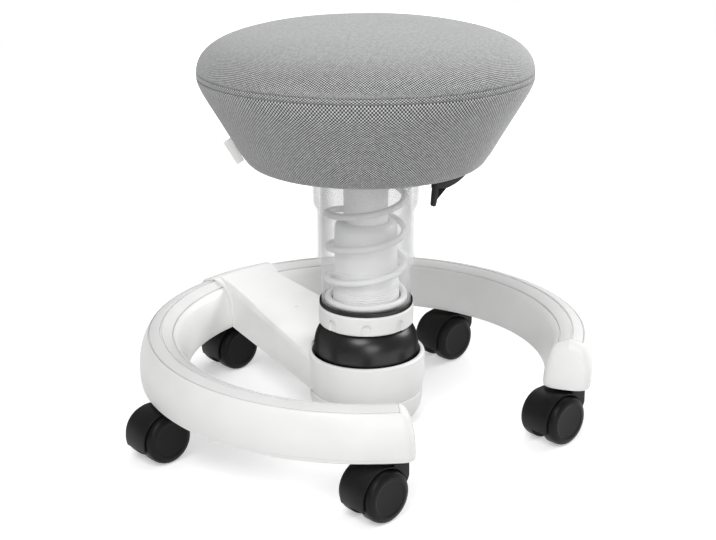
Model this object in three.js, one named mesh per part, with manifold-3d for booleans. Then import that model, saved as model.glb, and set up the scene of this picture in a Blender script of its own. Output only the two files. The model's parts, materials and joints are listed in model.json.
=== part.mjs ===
// A wobble stool: a C-shaped foot ring on five twin-wheel castors, a hub arm that holds a
// spring-loaded ball joint, a coil spring column inside clear telescopic covers, and a
// round padded seat on a gas lift with a release lever.
// Millimetres, +Z up. The mouth of the foot ring faces -Y and the hub arm points to +Y.
import * as THREE from "three";
import { mergeVertices } from "three/addons/utils/BufferGeometryUtils.js";
import Module from "manifold-3d";

const wasm = await Module();
wasm.setup();

// Clearances shared by many pieces
const SEAT_GAP = 0.3; // between pieces that sit on or in each other
const RUN_GAP = 0.45; // between pieces that turn or slide in each other
const OVERRUN = 2; // how far a cutting tool reaches past the face it cuts
const MERGE_STEP = 0.0001; // vertices closer than this are one vertex

// Foot ring
const RING_RADIUS = 205.6; // middle of its section
const RING_WIDTH = 47.4;
const RING_HEIGHT = 48.9;
const RING_FOOT_Z = 55.4; // underside above the floor
const RING_WALL = 4;
const RING_NOSE = 14.7; // length of the rounded end past the treads
const RING_MOUTH_DEGREES = 68.3; // between the ends of the treads, across the mouth
const RING_STEPS = 52; // an even number, so that a step line lies over the hub arm
const RING_RIB = 2.4;
const RIB_EVERY = 6; // steps from rib to rib
const SOCKET_WALL = 4.8;
const SOCKET_ROOF = 15.6; // solid ring left over a castor socket
// The section as [across, up] shares of its width and height, outer foot first.
const RING_SECTION_SHARES = [
  [0.5, 0], [0.515, 0.33], [0.49, 0.55], [0.42, 0.77], [0.33, 0.925],
  [0.04, 1], [-0.245, 0.885], [-0.335, 0.815], [-0.43, 0.58], [-0.485, 0.26], [-0.5, 0],
];
const CHANNEL_SECTION_SHARES = [
  [0.43, 0.28], [0.385, 0.55], [0.29, 0.77], [0.04, 0.86], [-0.21, 0.76], [-0.415, 0.22],
];
// How far along the nose, and how much of the width and height is left there.
const NOSE_SHARES = [
  [0.35, 0.99, 0.99], [0.62, 0.955, 0.95], [0.82, 0.87, 0.87], [0.94, 0.74, 0.74], [1, 0.55, 0.55],
];

// Tread strips on the ring
const TREAD_THICK = 1.6;
const TREAD_PROUD = 0.4;
const TREAD_GROOVE_SHARE = 0.052; // groove over the crest, as a share of the ring's width
const TREAD_OUTER_SHARE = 0.285;
const TREAD_INNER_SHARE = -0.21;

// Hub arm
const COLLAR_RADIUS = 59.7;
const COLLAR_BORE = 55;
const COLLAR_FOOT_Z = 34.2;
const COLLAR_TOP_Z = 75;
const COLLAR_TAPER = 2.4;
const COLLAR_TAPER_HEIGHT = 13;
const COLLAR_RIM_ROUND = 2.2;
const ARM_ROOT_HALF = 58; // half width beside the hub
const ARM_TIP_HALF = 34; // half width at the ring
const ARM_ROOT_TOP_Z = 67.5;
const ARM_ROOT_FOOT_Z = 35.5;
const ARM_TIP_TOP_Z = 105;
const ARM_EDGE_ROUND = 5;
const ARM_WALL = 4;
const ARM_RIB = 3;
const ARM_END_WALL = 9;
const SADDLE_STEPS = 2; // ring steps that the saddle covers on each side of the arm
const SADDLE_PROUD = 2.6; // how far the saddle stands off the ring
const SADDLE_SKIRT_SHARE = 0.3; // the saddle's outer skirt stops this far up the ring
const DIMPLE_RADIUS = 3.5;
const DIMPLE_DEPTH = 0.8;
const DIMPLE_Y = 110;
const ARM_BOLT_X = 20;
const ARM_BOLT_Z = 76;
const ARM_BOLT_RADIUS = 2.9;
const ARM_BOLT_HEAD = 5.4;
const ARM_BOLT_HEAD_THICK = 4;
const ARM_BOLT_GRIP = 8; // threaded length inside the arm's end wall
const ARM_BOLT_SEAT = 18.2; // from the middle of the ring in to the seat of the bolt's head

// Joint housing under the hub
const PIVOT_Z = 78; // centre of the ball and of both sway axes
const HOUSING_RADIUS = 57.8;
const HOUSING_WAIST = 55.8;
const HOUSING_WAIST_Z = 15;
const HOUSING_SHOULDER_Z = 26;
const HOUSING_FOOT_RADIUS = 51.5;
const HOUSING_FOOT_Z = 8;
const HOUSING_FLOOR = 4;
const HOUSING_WALL = 4.2;
const HOUSING_SPIGOT_TOP_Z = 52;
const LEDGE_TOP_Z = 45.5;
const LEDGE_THICK = 6;
const EAR_INNER_X = 31.5;
const EAR_THICK = 7;
const EAR_HALF_WIDTH = 8;
const CAP_THICK = 3;
const CAP_RADIUS = 46;
const FLEX_RADIUS = 43;
const FLEX_ROUND = 3;

// Gimbal and strut foot
const TRUNNION_RADIUS = 4;
const GIMBAL_INNER = 21;
const GIMBAL_OUTER = 29;
const GIMBAL_HALF_HEIGHT = 6.5;
const FOOT_HUB_RADIUS = 14;
const FOOT_HUB_HALF_HEIGHT = 9;
const SPIGOT_RADIUS = 8.3;
const SPIGOT_FOOT_Z = 19;
const FOOT_FLANGE_RADIUS = 42;
const FOOT_FLANGE_Z = 95;
const FOOT_FLANGE_THICK = 4;

// Ball sleeve
const BALL_RADIUS = 54;
const BALL_WALL = 3.5;
const BALL_FOOT_Z = 57;
const BALL_TOP_Z = 105.1;
const BALL_TOP_THICK = 2.8;

// Guide tube and bush
const GUIDE_RADIUS = 31.6;
const THREAD_RADIUS = 33.4; // of the thicker foot that carries the adjuster's thread
const THREAD_TOP_Z = 150;
const THREAD_SHOULDER = 1.2;
const GUIDE_WALL = 4.1;
const GUIDE_TOP_Z = 212;
const GUIDE_SHOULDER = 8.5;
const GUIDE_LIP_RADIUS = 24.6;
const GUIDE_LIP_THICK = 4;
const GUIDE_FLANGE_RADIUS = 40;
const GUIDE_FLANGE_THICK = 2.6;
const BUSH_LENGTH = 45;

// Adjuster ring and spring seat
const ADJUSTER_RADIUS = 47.9;
const ADJUSTER_HEIGHT = 19.7;
const ADJUSTER_ROUND = 1.4;
const RECESS_COUNT = 8;
const RECESS_WIDTH = 9.5;
const RECESS_HEIGHT = 12.5;
const RECESS_DEPTH = 1.1;
const RECESS_ARC_STEPS = 3;
const RECESS_TURN_DEGREES = 3; // from +Y to the middle of a recess
const DISH_RADIUS = 47.2;
const DISH_FLOOR = 1.6;
const DISH_LIP = 1.6;
const DISH_LIP_HEIGHT = 2.8;

// Coil spring
const WIRE_RADIUS = 3.4;
const COIL_RADIUS = 38.4; // to the middle of the wire
const COIL_PITCH = 34.4;
const COIL_START_DEGREES = 32.4;
const END_TURNS_SHARE = 0.75; // the nearly flat stretch at each end, in turns
const END_PITCH = 1.5;
const STEPS_PER_TURN = 16;
const WIRE_SIDES = 7;

// Clear covers
const LOWER_COVER_RADIUS = 45.2;
const LOWER_COVER_TOP_Z = 262;
const COVER_WALL = 1.6;
const UPPER_COVER_RADIUS = 49.2;
const UPPER_COVER_FOOT_Z = 170;
const UPPER_COVER_STEP_Z = 223;
const UPPER_COVER_STEP = 9;
const UPPER_COLLAR_RADIUS = 53.5;
const UPPER_FLANGE_RADIUS = 62;
const UPPER_FLANGE_THICK = 3;

// Gas lift
const LIFT_TUBE_RADIUS = 22.3;
const LIFT_TUBE_WALL = 2.5;
const LIFT_TUBE_FOOT_Z = 140;
const LIFT_TUBE_TOP_Z = 282.7;
const LIFT_LINER_LENGTH = 62;
const LIFT_FLOOR = 4;
const SPRING_PLATE_RADIUS = 42;
const SPRING_PLATE_THICK = 3.4;
const SPRING_PLATE_Z = 279;
const SPRING_PLATE_HUB = 26.5;
const SPRING_PLATE_HUB_DEPTH = 8;
const CYLINDER_RADIUS = 14;
const CYLINDER_WALL = 2.6;
const CYLINDER_FOOT_Z = 152;
const CYLINDER_END = 5;
const CYLINDER_TAPER = 1.2;
const TAPER_FOOT_Z = 290;
const TAPER_TOP_Z = 318;
const VALVE_BLOCK = 16; // solid top of the cylinder that the release pin passes
const ROD_RADIUS = 4;
const ROD_CLIP_RADIUS = 7.5;
const ROD_CLIP_THICK = 2.6;
const PISTON_Z = 244;
const PISTON_THICK = 6;
const BEARING_RADIUS = 12;
const BEARING_THICK = 3.6;
const PIN_RADIUS = 3;
const PIN_LENGTH = 18;
const PIN_PROUD = 3;

// Seat
const SEAT_FOOT_RADIUS = 115.5;
const SEAT_FOOT_Z = 276;
const SEAT_SHOULDER_RADIUS = 160;
const SEAT_SHOULDER_Z = 353;
const SEAT_SEAM_Z = 367;
const SEAT_WIDEST = 162.4;
const SEAT_CROWN = 36.6; // height of the crown over the seam
const SEAM_DEPTH = 1.3;
const SEAM_HALF = 2.2;
const SKIRT_THICK = 3.4;
const LIP_HEIGHT = 5;
const PAN_WALL = 3;
const PAN_TOP_Z = 352;
const PAN_FLOOR_Z = 330;
const PAN_FLOOR_THICK = 3.5;
const PLATE_HALF = 66;
const PLATE_Z = 303;
const PLATE_THICK = 3;
const PLATE_CORNER = 14;
const SOCKET_HUB_RADIUS = 18;
const SCREW_SPACING = 52; // half the square that the seat screws stand on
const SCREW_RADIUS = 3;
const SCREW_HEAD_RADIUS = 6;
const SCREW_HEAD_THICK = 3.6;
const SCREW_LENGTH = 19;
const BOSS_RADIUS = 8.5;
// The crown over the widest line, as [radius, height] shares.
const CROWN_SHARES = [
  [1, 0.09], [0.995, 0.17], [0.975, 0.31], [0.93, 0.475], [0.86, 0.64], [0.75, 0.797],
  [0.6, 0.913], [0.4, 0.98],
];

// Fabric tag in the side of the cover
const TAG_DEGREES = 151.4;
const TAG_FOOT_Z = 281;
const TAG_LENGTH = 23;
const TAG_REACH = 7.2;
const TAG_THICK = 0.8;

// Release lever
const LEVER_DEGREES = -87;
const LEVER_PIVOT = 30; // from the column axis to the lever's pin
const LEVER_PIN_Z = 316;
const LEVER_PIN_RADIUS = 2.5;
const LEVER_BOSS = 5.6;
const LEVER_WIDTH = 14;
const LEVER_THICK = 5;
const LEVER_NOSE = 5; // how far the inner end reaches past the column axis
const LEVER_EAR_THICK = 3;
const LEVER_KNEE = 70;
const LEVER_KNEE_Z = 316;
const PADDLE_INNER = 98;
const PADDLE_OUTER = 107;
const PADDLE_TOP_Z = 280;
// The paddle seen from outside, as [along, down] lengths from the arm's line and its top.
const PADDLE_LEFT = 19;
const PADDLE_RIGHT = 27;
const PADDLE_RIGHT_DROP = 5.5;
const FIN_DROP = 28.4;
const FIN_WIDTH = 5.2;
const FIN_TIP_ROUND = 1.6;
const WEB_WIDTH = 17;
const WEB_DROP = 14;
const BELLY_WIDTH = 28;
const BELLY_DROP = 11.4;

// Castors
const CASTOR_COUNT = 5;
const WHEEL_RADIUS = 25;
const CASTOR_TRAIL = 20.5;
const CASTOR_HALF_WIDTH = 22.5;
const HOOD_HALF_WIDTH = 15.5;
const HOOD_THICK = 1.3;
const HOOD_GAP = 1.2;
const POCKET_SIDES = 16;
const WEB_HALF = 7;
const HOOD_END_DEGREES = 200; // where the hood ends behind the wheel
const HOOD_NECK_DEGREES = 67; // where the hood meets the stem tower
const HOOD_STEPS = 8;
const TOWER_FRONT = 30; // from the wheel's middle to the tower's flat front
const TOWER_BACK = 11.5;
const TOWER_FOOT = 10.5;
const AXLE_RADIUS = 3;
const AXLE_BOSS = 8;
const AXLE_INSET = 3; // how far the axle ends inside the wheel's face
const WHEEL_RIM = 24.5;
const WHEEL_RIM_Y = 18.6;
const WHEEL_BEVEL = 23.4;
const WHEEL_BEVEL_Y = 21;
const WHEEL_FACE = 19.5;
const STEM_RADIUS = 5.5;
const STEM_FOOT_Z = 33;

// Roundness: the sides of turned pieces
const SEAT_SIDES = 34;
const LARGE_SIDES = 26;
const COLUMN_SIDES = 20;
const SMALL_SIDES = 16;
const PIN_SIDES = 10;
const WHEEL_SIDES = 16;
const BALL_STEPS = 4;
const FILLET_STEPS = 2;

const radians = THREE.MathUtils.degToRad;

// Materials
const material = (color, roughness, metalness = 0) =>
  new THREE.MeshStandardMaterial({ color, roughness, metalness });
const whitePlastic = material("#e9eae8", 0.42);
const clearPlastic = new THREE.MeshStandardMaterial({
  color: "#d9dadb", roughness: 0.12, metalness: 0, transparent: true, opacity: 0.35,
});
const greyPlastic = material("#c3c4c5", 0.45);
const blackPlastic = material("#1c1c1d", 0.5);
const blackRubber = material("#0c0c0d", 0.22);
const steel = material("#b9bbbd", 0.32, 0.9);
const springPaint = material("#cdcfd0", 0.38, 0.1);
const fabric = material("#8f9192", 0.95);
const tagFabric = material("#f2f2f0", 0.9);

// A closed geometry as a solid that can be joined and cut.
function solidOf(shape) {
  if (!shape.isBufferGeometry) return shape;
  const bare = new THREE.BufferGeometry().setAttribute(
    "position",
    (shape.index ? shape.toNonIndexed() : shape).getAttribute("position"),
  );
  const merged = mergeVertices(bare, MERGE_STEP);
  const corners = merged.index.array;
  const kept = [];
  for (let i = 0; i < corners.length; i += 3) {
    const [a, b, c] = corners.subarray(i, i + 3);
    if (a !== b && b !== c && c !== a) kept.push(a, b, c);
  }
  const mesh = new wasm.Mesh({
    numProp: 3,
    vertProperties: merged.attributes.position.array,
    triVerts: new Uint32Array(kept),
  });
  return new wasm.Manifold(mesh);
}

const join = (...shapes) => shapes.map(solidOf).reduce((sum, next) => sum.add(next));
const cut = (base, ...tools) =>
  tools.map(solidOf).reduce((left, tool) => left.subtract(tool), solidOf(base));
const common = (a, b) => solidOf(a).intersect(solidOf(b));

// A named mesh from a solid.
function piece(name, shape, finish) {
  const { numProp, vertProperties, triVerts } = solidOf(shape).getMesh();
  const geometry = new THREE.BufferGeometry();
  const positions = new THREE.InterleavedBuffer(vertProperties, numProp);
  geometry.setAttribute("position", new THREE.InterleavedBufferAttribute(positions, 3, 0));
  geometry.setIndex(new THREE.BufferAttribute(triVerts, 1));
  const flat = geometry.toNonIndexed();
  flat.computeVertexNormals();
  const mesh = new THREE.Mesh(flat, finish);
  mesh.name = name;
  return mesh;
}

// An outline of [x, y, fillet] corners with its fillets worked out as arcs.
function rounded(corners) {
  const outline = [];
  corners.forEach(([x, y, fillet = 0], i) => {
    const here = new THREE.Vector2(x, y);
    if (!fillet) {
      outline.push([x, y]);
      return;
    }
    const before = corners.at(i - 1);
    const after = corners[(i + 1) % corners.length];
    const back = new THREE.Vector2(before[0], before[1]).sub(here);
    const ahead = new THREE.Vector2(after[0], after[1]).sub(here);
    const room = Math.min(back.length(), ahead.length()) / 2;
    back.normalize();
    ahead.normalize();
    const half = Math.acos(THREE.MathUtils.clamp(back.dot(ahead), -1, 1)) / 2;
    const setback = Math.min(fillet / Math.tan(half), room);
    const radius = setback * Math.tan(half);
    const middle = back.clone().add(ahead).normalize().multiplyScalar(radius / Math.sin(half));
    const start = back.multiplyScalar(setback).sub(middle);
    const end = ahead.multiplyScalar(setback).sub(middle);
    const from = start.angle();
    let turn = end.angle() - from;
    if (turn > Math.PI) turn -= 2 * Math.PI;
    if (turn < -Math.PI) turn += 2 * Math.PI;
    for (let k = 0; k <= FILLET_STEPS; k++) {
      const angle = from + (turn * k) / FILLET_STEPS;
      outline.push([
        x + middle.x + radius * Math.cos(angle),
        y + middle.y + radius * Math.sin(angle),
      ]);
    }
  });
  return outline;
}

// A profile of [radius, height] corners turned about Z. It closes on itself or on the axis.
function turned(corners, sides) {
  const profile = rounded(corners).map(([r, z]) => new THREE.Vector2(r, z));
  if (THREE.ShapeUtils.area(profile) < 0) profile.reverse();
  if (profile[0].x > 0 || profile.at(-1).x > 0) profile.push(profile[0].clone());
  return new THREE.LatheGeometry(profile, sides).rotateX(Math.PI / 2);
}

const ringBetween = (inner, outer, low, high, sides) =>
  turned([[inner, low], [outer, low], [outer, high], [inner, high]], sides);
const disc = (radius, low, high, sides) =>
  turned([[0, low], [radius, low], [radius, high], [0, high]], sides);

// A straight round bar between two points.
function bar(radius, from, to, sides = PIN_SIDES) {
  const start = new THREE.Vector3(...from);
  const line = new THREE.Vector3(...to).sub(start);
  const turn = new THREE.Quaternion().setFromUnitVectors(
    new THREE.Vector3(0, 1, 0),
    line.clone().normalize(),
  );
  const middle = start.addScaledVector(line, 1 / 2);
  return new THREE.CylinderGeometry(radius, radius, line.length(), sides)
    .applyQuaternion(turn)
    .translate(middle.x, middle.y, middle.z);
}

function block([x0, x1], [y0, y1], [z0, z1]) {
  return new THREE.BoxGeometry(x1 - x0, y1 - y0, z1 - z0)
    .translate((x0 + x1) / 2, (y0 + y1) / 2, (z0 + z1) / 2);
}

// An outline in the XY plane pushed up along Z.
function prism(outline, low, high) {
  const shape = new THREE.Shape(outline.map(([x, y]) => new THREE.Vector2(x, y)));
  return new THREE.ExtrudeGeometry(shape, { depth: high - low, bevelEnabled: false })
    .translate(0, 0, low);
}

// An outline of [x, z] pairs pushed along Y.
const slab = (outline, low, high) =>
  prism(outline, -high, -low).rotateX(Math.PI / 2);

// A closed skin through rings of points that all have the same count, capped at both ends.
function loft(rings) {
  const count = rings[0].length;
  const positions = rings.flat().flatMap((p) => [p.x, p.y, p.z]);
  const faces = [];
  for (let r = 0; r + 1 < rings.length; r++) {
    for (let i = 0; i < count; i++) {
      const j = (i + 1) % count;
      const [a, b, c, d] = [r * count + i, r * count + j, (r + 1) * count + j, (r + 1) * count + i];
      faces.push(a, b, c, a, c, d);
    }
  }
  const last = (rings.length - 1) * count;
  for (let i = 1; i + 1 < count; i++) {
    faces.push(0, i + 1, i, last, last + i, last + i + 1);
  }
  const at = (i) => rings.flat()[i];
  let volume = 0;
  for (let i = 0; i < faces.length; i += 3) {
    const [a, b, c] = faces.slice(i, i + 3).map(at);
    volume += a.dot(new THREE.Vector3().crossVectors(b, c));
  }
  if (volume < 0) faces.reverse();
  return new THREE.BufferGeometry()
    .setAttribute("position", new THREE.Float32BufferAttribute(positions, 3))
    .setIndex(faces);
}

// Foot ring: a section carried round the column axis. Angle zero is over the hub arm.
const stepAngle = radians((360 - RING_MOUTH_DEGREES) / RING_STEPS);
const halfSteps = RING_STEPS / 2;

const scaled = (shares, width, height) => shares.map(([u, v]) => [u * width, v * height]);
const ringSection = scaled(RING_SECTION_SHARES, RING_WIDTH, RING_HEIGHT);
const crestAt = RING_SECTION_SHARES.findIndex(([, up]) => up === 1);
const crest = ringSection[crestAt];

// The section grown outwards by an even amount.
function grown(outline, amount) {
  return outline.map((point, i) => {
    const here = new THREE.Vector2(...point);
    const before = here.clone().sub(new THREE.Vector2(...outline.at(i - 1))).normalize();
    const after = new THREE.Vector2(...outline[(i + 1) % outline.length]).sub(here).normalize();
    const normal = new THREE.Vector2(before.y + after.y, -before.x - after.x).normalize();
    const stretch = amount / Math.max(normal.dot(new THREE.Vector2(before.y, -before.x)), 1 / 2);
    return [point[0] + normal.x * stretch, point[1] + normal.y * stretch];
  });
}

function onRing(section, angle) {
  return section.map(([across, up]) => {
    const radius = RING_RADIUS + across;
    return new THREE.Vector3(
      radius * Math.sin(angle), radius * Math.cos(angle), RING_FOOT_Z + up,
    );
  });
}

// The angles of the ring's steps from one to another.
const steps = (first, last, stride = 1) =>
  Array.from({ length: (last - first) / stride + 1 }, (_, i) => (first + i * stride) * stepAngle);
const sweep = (section, angles) => angles.map((angle) => onRing(section, angle));

function noseRings(section, side) {
  const end = halfSteps * stepAngle;
  return NOSE_SHARES.map(([along, width, height]) => {
    const small = section.map(([across, up]) => [across * width, up * height]);
    return onRing(small, side * (end + (along * RING_NOSE) / RING_RADIUS));
  });
}

// A tread strip lies on one slope of the ring's top, from the crest groove to its edge.
function treadSection(side, grow = 0) {
  const edge = ringSection[crestAt - side];
  const slope = (edge[1] - crest[1]) / (edge[0] - crest[0]);
  const near = (side * TREAD_GROOVE_SHARE * RING_WIDTH) / 2 + crest[0] - side * grow;
  const outer = side > 0 ? TREAD_OUTER_SHARE : TREAD_INNER_SHARE;
  const far = outer * RING_WIDTH + side * grow;
  const onSlope = (across, lift) => [across, crest[1] + slope * (across - crest[0]) + lift];
  const floor = TREAD_PROUD - TREAD_THICK - grow;
  const roof = grow ? OVERRUN : TREAD_PROUD;
  return [onSlope(near, floor), onSlope(far, floor), onSlope(far, roof), onSlope(near, roof)];
}

const castorAngles = Array.from(
  { length: CASTOR_COUNT },
  (_, i) => radians((360 / CASTOR_COUNT) * (i - (CASTOR_COUNT - 1) / 2)),
);
const ringPoint = (radius, angle, z) => [radius * Math.sin(angle), radius * Math.cos(angle), z];
const SOCKET_RADIUS = STEM_RADIUS + SEAT_GAP;
const socketTopZ = RING_FOOT_Z + RING_HEIGHT - SOCKET_ROOF;
const stemTopZ = socketTopZ - SEAT_GAP;

function footRing() {
  const whole = loft([
    ...noseRings(ringSection, -1).reverse(),
    ...sweep(ringSection, steps(-halfSteps, halfSteps)),
    ...noseRings(ringSection, 1),
  ]);
  const channelSection = scaled(CHANNEL_SECTION_SHARES, RING_WIDTH, RING_HEIGHT);
  const half = RING_WIDTH / 2 - RING_WALL;
  const openSection = [[half, -OVERRUN], ...channelSection, [-half, -OVERRUN]];
  const channel = loft(sweep(openSection, steps(2 - halfSteps, halfSteps - 2, 2)));
  const ribs = [];
  for (let step = RIB_EVERY / 2; step < halfSteps - 1; step += RIB_EVERY) {
    for (const side of [-1, 1]) {
      ribs.push(
        block(
          [-RING_RIB / 2, RING_RIB / 2],
          [RING_RADIUS - RING_WIDTH / 2, RING_RADIUS + RING_WIDTH / 2],
          [RING_FOOT_Z, RING_FOOT_Z + RING_HEIGHT],
        ).rotateZ(-side * step * stepAngle),
      );
    }
  }
  const bosses = castorAngles.map((angle) =>
    bar(
      SOCKET_RADIUS + SOCKET_WALL,
      ringPoint(RING_RADIUS, angle, RING_FOOT_Z),
      ringPoint(RING_RADIUS, angle, RING_FOOT_Z + RING_HEIGHT),
    ),
  );
  const hollow = cut(channel, ...ribs, ...bosses);
  const sockets = castorAngles.map((angle) =>
    bar(
      SOCKET_RADIUS,
      ringPoint(RING_RADIUS, angle, RING_FOOT_Z - OVERRUN),
      ringPoint(RING_RADIUS, angle, socketTopZ),
    ),
  );
  const boltHoles = [-1, 1].map((side) => armBolt(side, SEAT_GAP));
  const treadSeats = [-1, 1].map((side) =>
    loft(sweep(treadSection(side, SEAT_GAP), steps(-halfSteps, halfSteps))),
  );
  return cut(whole, hollow, ...sockets, ...boltHoles, ...treadSeats);
}

function treadStrip(side) {
  const angles = steps(-halfSteps, halfSteps);
  const pull = SEAT_GAP / RING_RADIUS;
  angles[0] += pull;
  angles[RING_STEPS] -= pull;
  return loft(sweep(treadSection(side), angles));
}

// Hub arm: collar, tapered arm and the saddle that clasps the ring.
const armReach = RING_RADIUS - RING_WIDTH / 2;
const armTipFootZ = RING_FOOT_Z;
const armAt = (root, tip, y) => root + ((tip - root) * y) / armReach;

function armStation(y, inset = 0, low = 0) {
  const half = armAt(ARM_ROOT_HALF, ARM_TIP_HALF, y) - inset;
  const top = armAt(ARM_ROOT_TOP_Z, ARM_TIP_TOP_Z, y) - inset;
  const foot = armAt(ARM_ROOT_FOOT_Z, armTipFootZ, y) - low;
  const corner = inset ? ARM_EDGE_ROUND / 2 : ARM_EDGE_ROUND;
  return rounded([
    [-half, foot], [half, foot], [half, top, corner], [-half, top, corner],
  ]).map(([x, z]) => new THREE.Vector3(x, y, z));
}

function armBolt(side, grow = 0) {
  const seatY = Math.sqrt((RING_RADIUS - ARM_BOLT_SEAT) ** 2 - ARM_BOLT_X ** 2);
  const tipY = armReach - ARM_BOLT_GRIP;
  const x = side * ARM_BOLT_X;
  const at = (y) => [x, y, ARM_BOLT_Z];
  const headTop = seatY + ARM_BOLT_HEAD_THICK;
  const shank = bar(ARM_BOLT_RADIUS + grow, at(tipY - grow), at(headTop));
  const head = bar(ARM_BOLT_HEAD + grow, at(seatY - grow), at(grow ? headTop + OVERRUN : headTop));
  return join(shank, head);
}

function hubArm() {
  const collar = turned(
    [
      [0, COLLAR_FOOT_Z],
      [COLLAR_RADIUS - COLLAR_TAPER, COLLAR_FOOT_Z],
      [COLLAR_RADIUS, COLLAR_FOOT_Z + COLLAR_TAPER_HEIGHT],
      [COLLAR_RADIUS, COLLAR_TOP_Z, COLLAR_RIM_ROUND],
      [0, COLLAR_TOP_Z],
    ],
    LARGE_SIDES,
  );
  const arm = loft([armStation(0), armStation(RING_RADIUS + crest[0])]);
  const clasp = grown(ringSection, SADDLE_PROUD);
  const saddle = loft(sweep(clasp, steps(-SADDLE_STEPS, SADDLE_STEPS)));
  const skirtZ = RING_FOOT_Z + SADDLE_SKIRT_SHARE * RING_HEIGHT;
  const outside = RING_RADIUS + RING_WIDTH;
  const skirtCut = block(
    [-outside, outside], [RING_RADIUS, outside], [0, skirtZ],
  );
  const footCut = block([-outside, outside], [armReach - OVERRUN, outside], [0, RING_FOOT_Z]);
  const saddleTopZ = RING_FOOT_Z + RING_HEIGHT + SADDLE_PROUD;
  const crestCut = block(
    [-outside, outside], [0, outside], [saddleTopZ, saddleTopZ + RING_HEIGHT],
  );
  const ringRoom = loft(
    sweep(grown(ringSection, TREAD_PROUD + SEAT_GAP), steps(-2 * SADDLE_STEPS, 2 * SADDLE_STEPS)),
  );
  const bore = disc(COLLAR_BORE, 0, RING_FOOT_Z + RING_HEIGHT, LARGE_SIDES);
  const cavityStart = COLLAR_RADIUS + ARM_WALL;
  const cavityEnd = armReach - ARM_END_WALL;
  const cavity = cut(
    loft([armStation(cavityStart, ARM_WALL, OVERRUN), armStation(cavityEnd, ARM_WALL, OVERRUN)]),
    block(
      [-ARM_RIB / 2, ARM_RIB / 2],
      [cavityStart - OVERRUN, cavityEnd + OVERRUN],
      [0, RING_FOOT_Z + RING_HEIGHT],
    ),
  );
  const dimpleZ = armAt(ARM_ROOT_TOP_Z, ARM_TIP_TOP_Z, DIMPLE_Y);
  const dimple = bar(
    DIMPLE_RADIUS, [0, DIMPLE_Y, dimpleZ - DIMPLE_DEPTH], [0, DIMPLE_Y, dimpleZ + OVERRUN],
  );
  const boltHoles = [-1, 1].map((side) => armBolt(side, SEAT_GAP));
  const body = cut(join(collar, arm, saddle), skirtCut, footCut, crestCut, ringRoom);
  return cut(body, bore, cavity, dimple, ...boltHoles);
}

// Joint housing: a cup under the collar, with a ledge and two ears for the gimbal.
const housingBore = COLLAR_BORE - SEAT_GAP - HOUSING_WALL;
const flexFloorZ = HOUSING_FOOT_Z + CAP_THICK + HOUSING_FLOOR;
const ledgeFootZ = LEDGE_TOP_Z - LEDGE_THICK;
const shoulderTopZ = COLLAR_FOOT_Z - SEAT_GAP;

function jointHousing() {
  const cup = turned(
    [
      [0, flexFloorZ],
      [FLEX_RADIUS + SEAT_GAP, flexFloorZ],
      [FLEX_RADIUS + SEAT_GAP, ledgeFootZ],
      [housingBore, LEDGE_TOP_Z],
      [housingBore, HOUSING_SPIGOT_TOP_Z],
      [COLLAR_BORE - SEAT_GAP, HOUSING_SPIGOT_TOP_Z],
      [COLLAR_BORE - SEAT_GAP, shoulderTopZ],
      [HOUSING_RADIUS, shoulderTopZ],
      [HOUSING_RADIUS, HOUSING_SHOULDER_Z],
      [HOUSING_WAIST, HOUSING_WAIST_Z],
      [HOUSING_FOOT_RADIUS, HOUSING_FOOT_Z, HOUSING_FLOOR],
      [CAP_RADIUS + SEAT_GAP, HOUSING_FOOT_Z],
      [CAP_RADIUS + SEAT_GAP, HOUSING_FOOT_Z + CAP_THICK + SEAT_GAP],
      [0, HOUSING_FOOT_Z + CAP_THICK + SEAT_GAP],
    ],
    LARGE_SIDES,
  );
  const earTopZ = PIVOT_Z + EAR_HALF_WIDTH;
  const ears = [-1, 1].map((side) => {
    const inner = side * EAR_INNER_X;
    const outer = side * (EAR_INNER_X + EAR_THICK);
    const wall = side * (housingBore + HOUSING_WALL / 2);
    const spanX = [Math.min(inner, outer), Math.max(inner, outer)];
    const baseX = [Math.min(inner, wall), Math.max(inner, wall)];
    const blade = cut(
      join(
        block(spanX, [-EAR_HALF_WIDTH, EAR_HALF_WIDTH], [ledgeFootZ, PIVOT_Z]),
        bar(EAR_HALF_WIDTH, [inner, 0, PIVOT_Z], [outer, 0, PIVOT_Z], PIN_SIDES),
      ),
      bar(
        TRUNNION_RADIUS + RUN_GAP,
        [inner - side * OVERRUN, 0, PIVOT_Z],
        [outer + side * OVERRUN, 0, PIVOT_Z],
      ),
      block(spanX, [-EAR_HALF_WIDTH, EAR_HALF_WIDTH], [earTopZ, earTopZ + OVERRUN]),
    );
    return join(blade, block(baseX, [-EAR_HALF_WIDTH, EAR_HALF_WIDTH], [ledgeFootZ, LEDGE_TOP_Z]));
  });
  return join(cup, ...ears);
}

const housingCap = () =>
  turned(
    [
      [0, HOUSING_FOOT_Z], [CAP_RADIUS, HOUSING_FOOT_Z],
      [CAP_RADIUS, HOUSING_FOOT_Z + CAP_THICK], [0, HOUSING_FOOT_Z + CAP_THICK],
    ],
    LARGE_SIDES,
  );

const flexBlock = () =>
  turned(
    [
      [SPIGOT_RADIUS + SEAT_GAP, flexFloorZ + SEAT_GAP],
      [FLEX_RADIUS, flexFloorZ + SEAT_GAP, FLEX_ROUND],
      [FLEX_RADIUS, ledgeFootZ - SEAT_GAP, FLEX_ROUND],
      [SPIGOT_RADIUS + SEAT_GAP, ledgeFootZ - SEAT_GAP],
    ],
    LARGE_SIDES / 2,
  );

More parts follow.
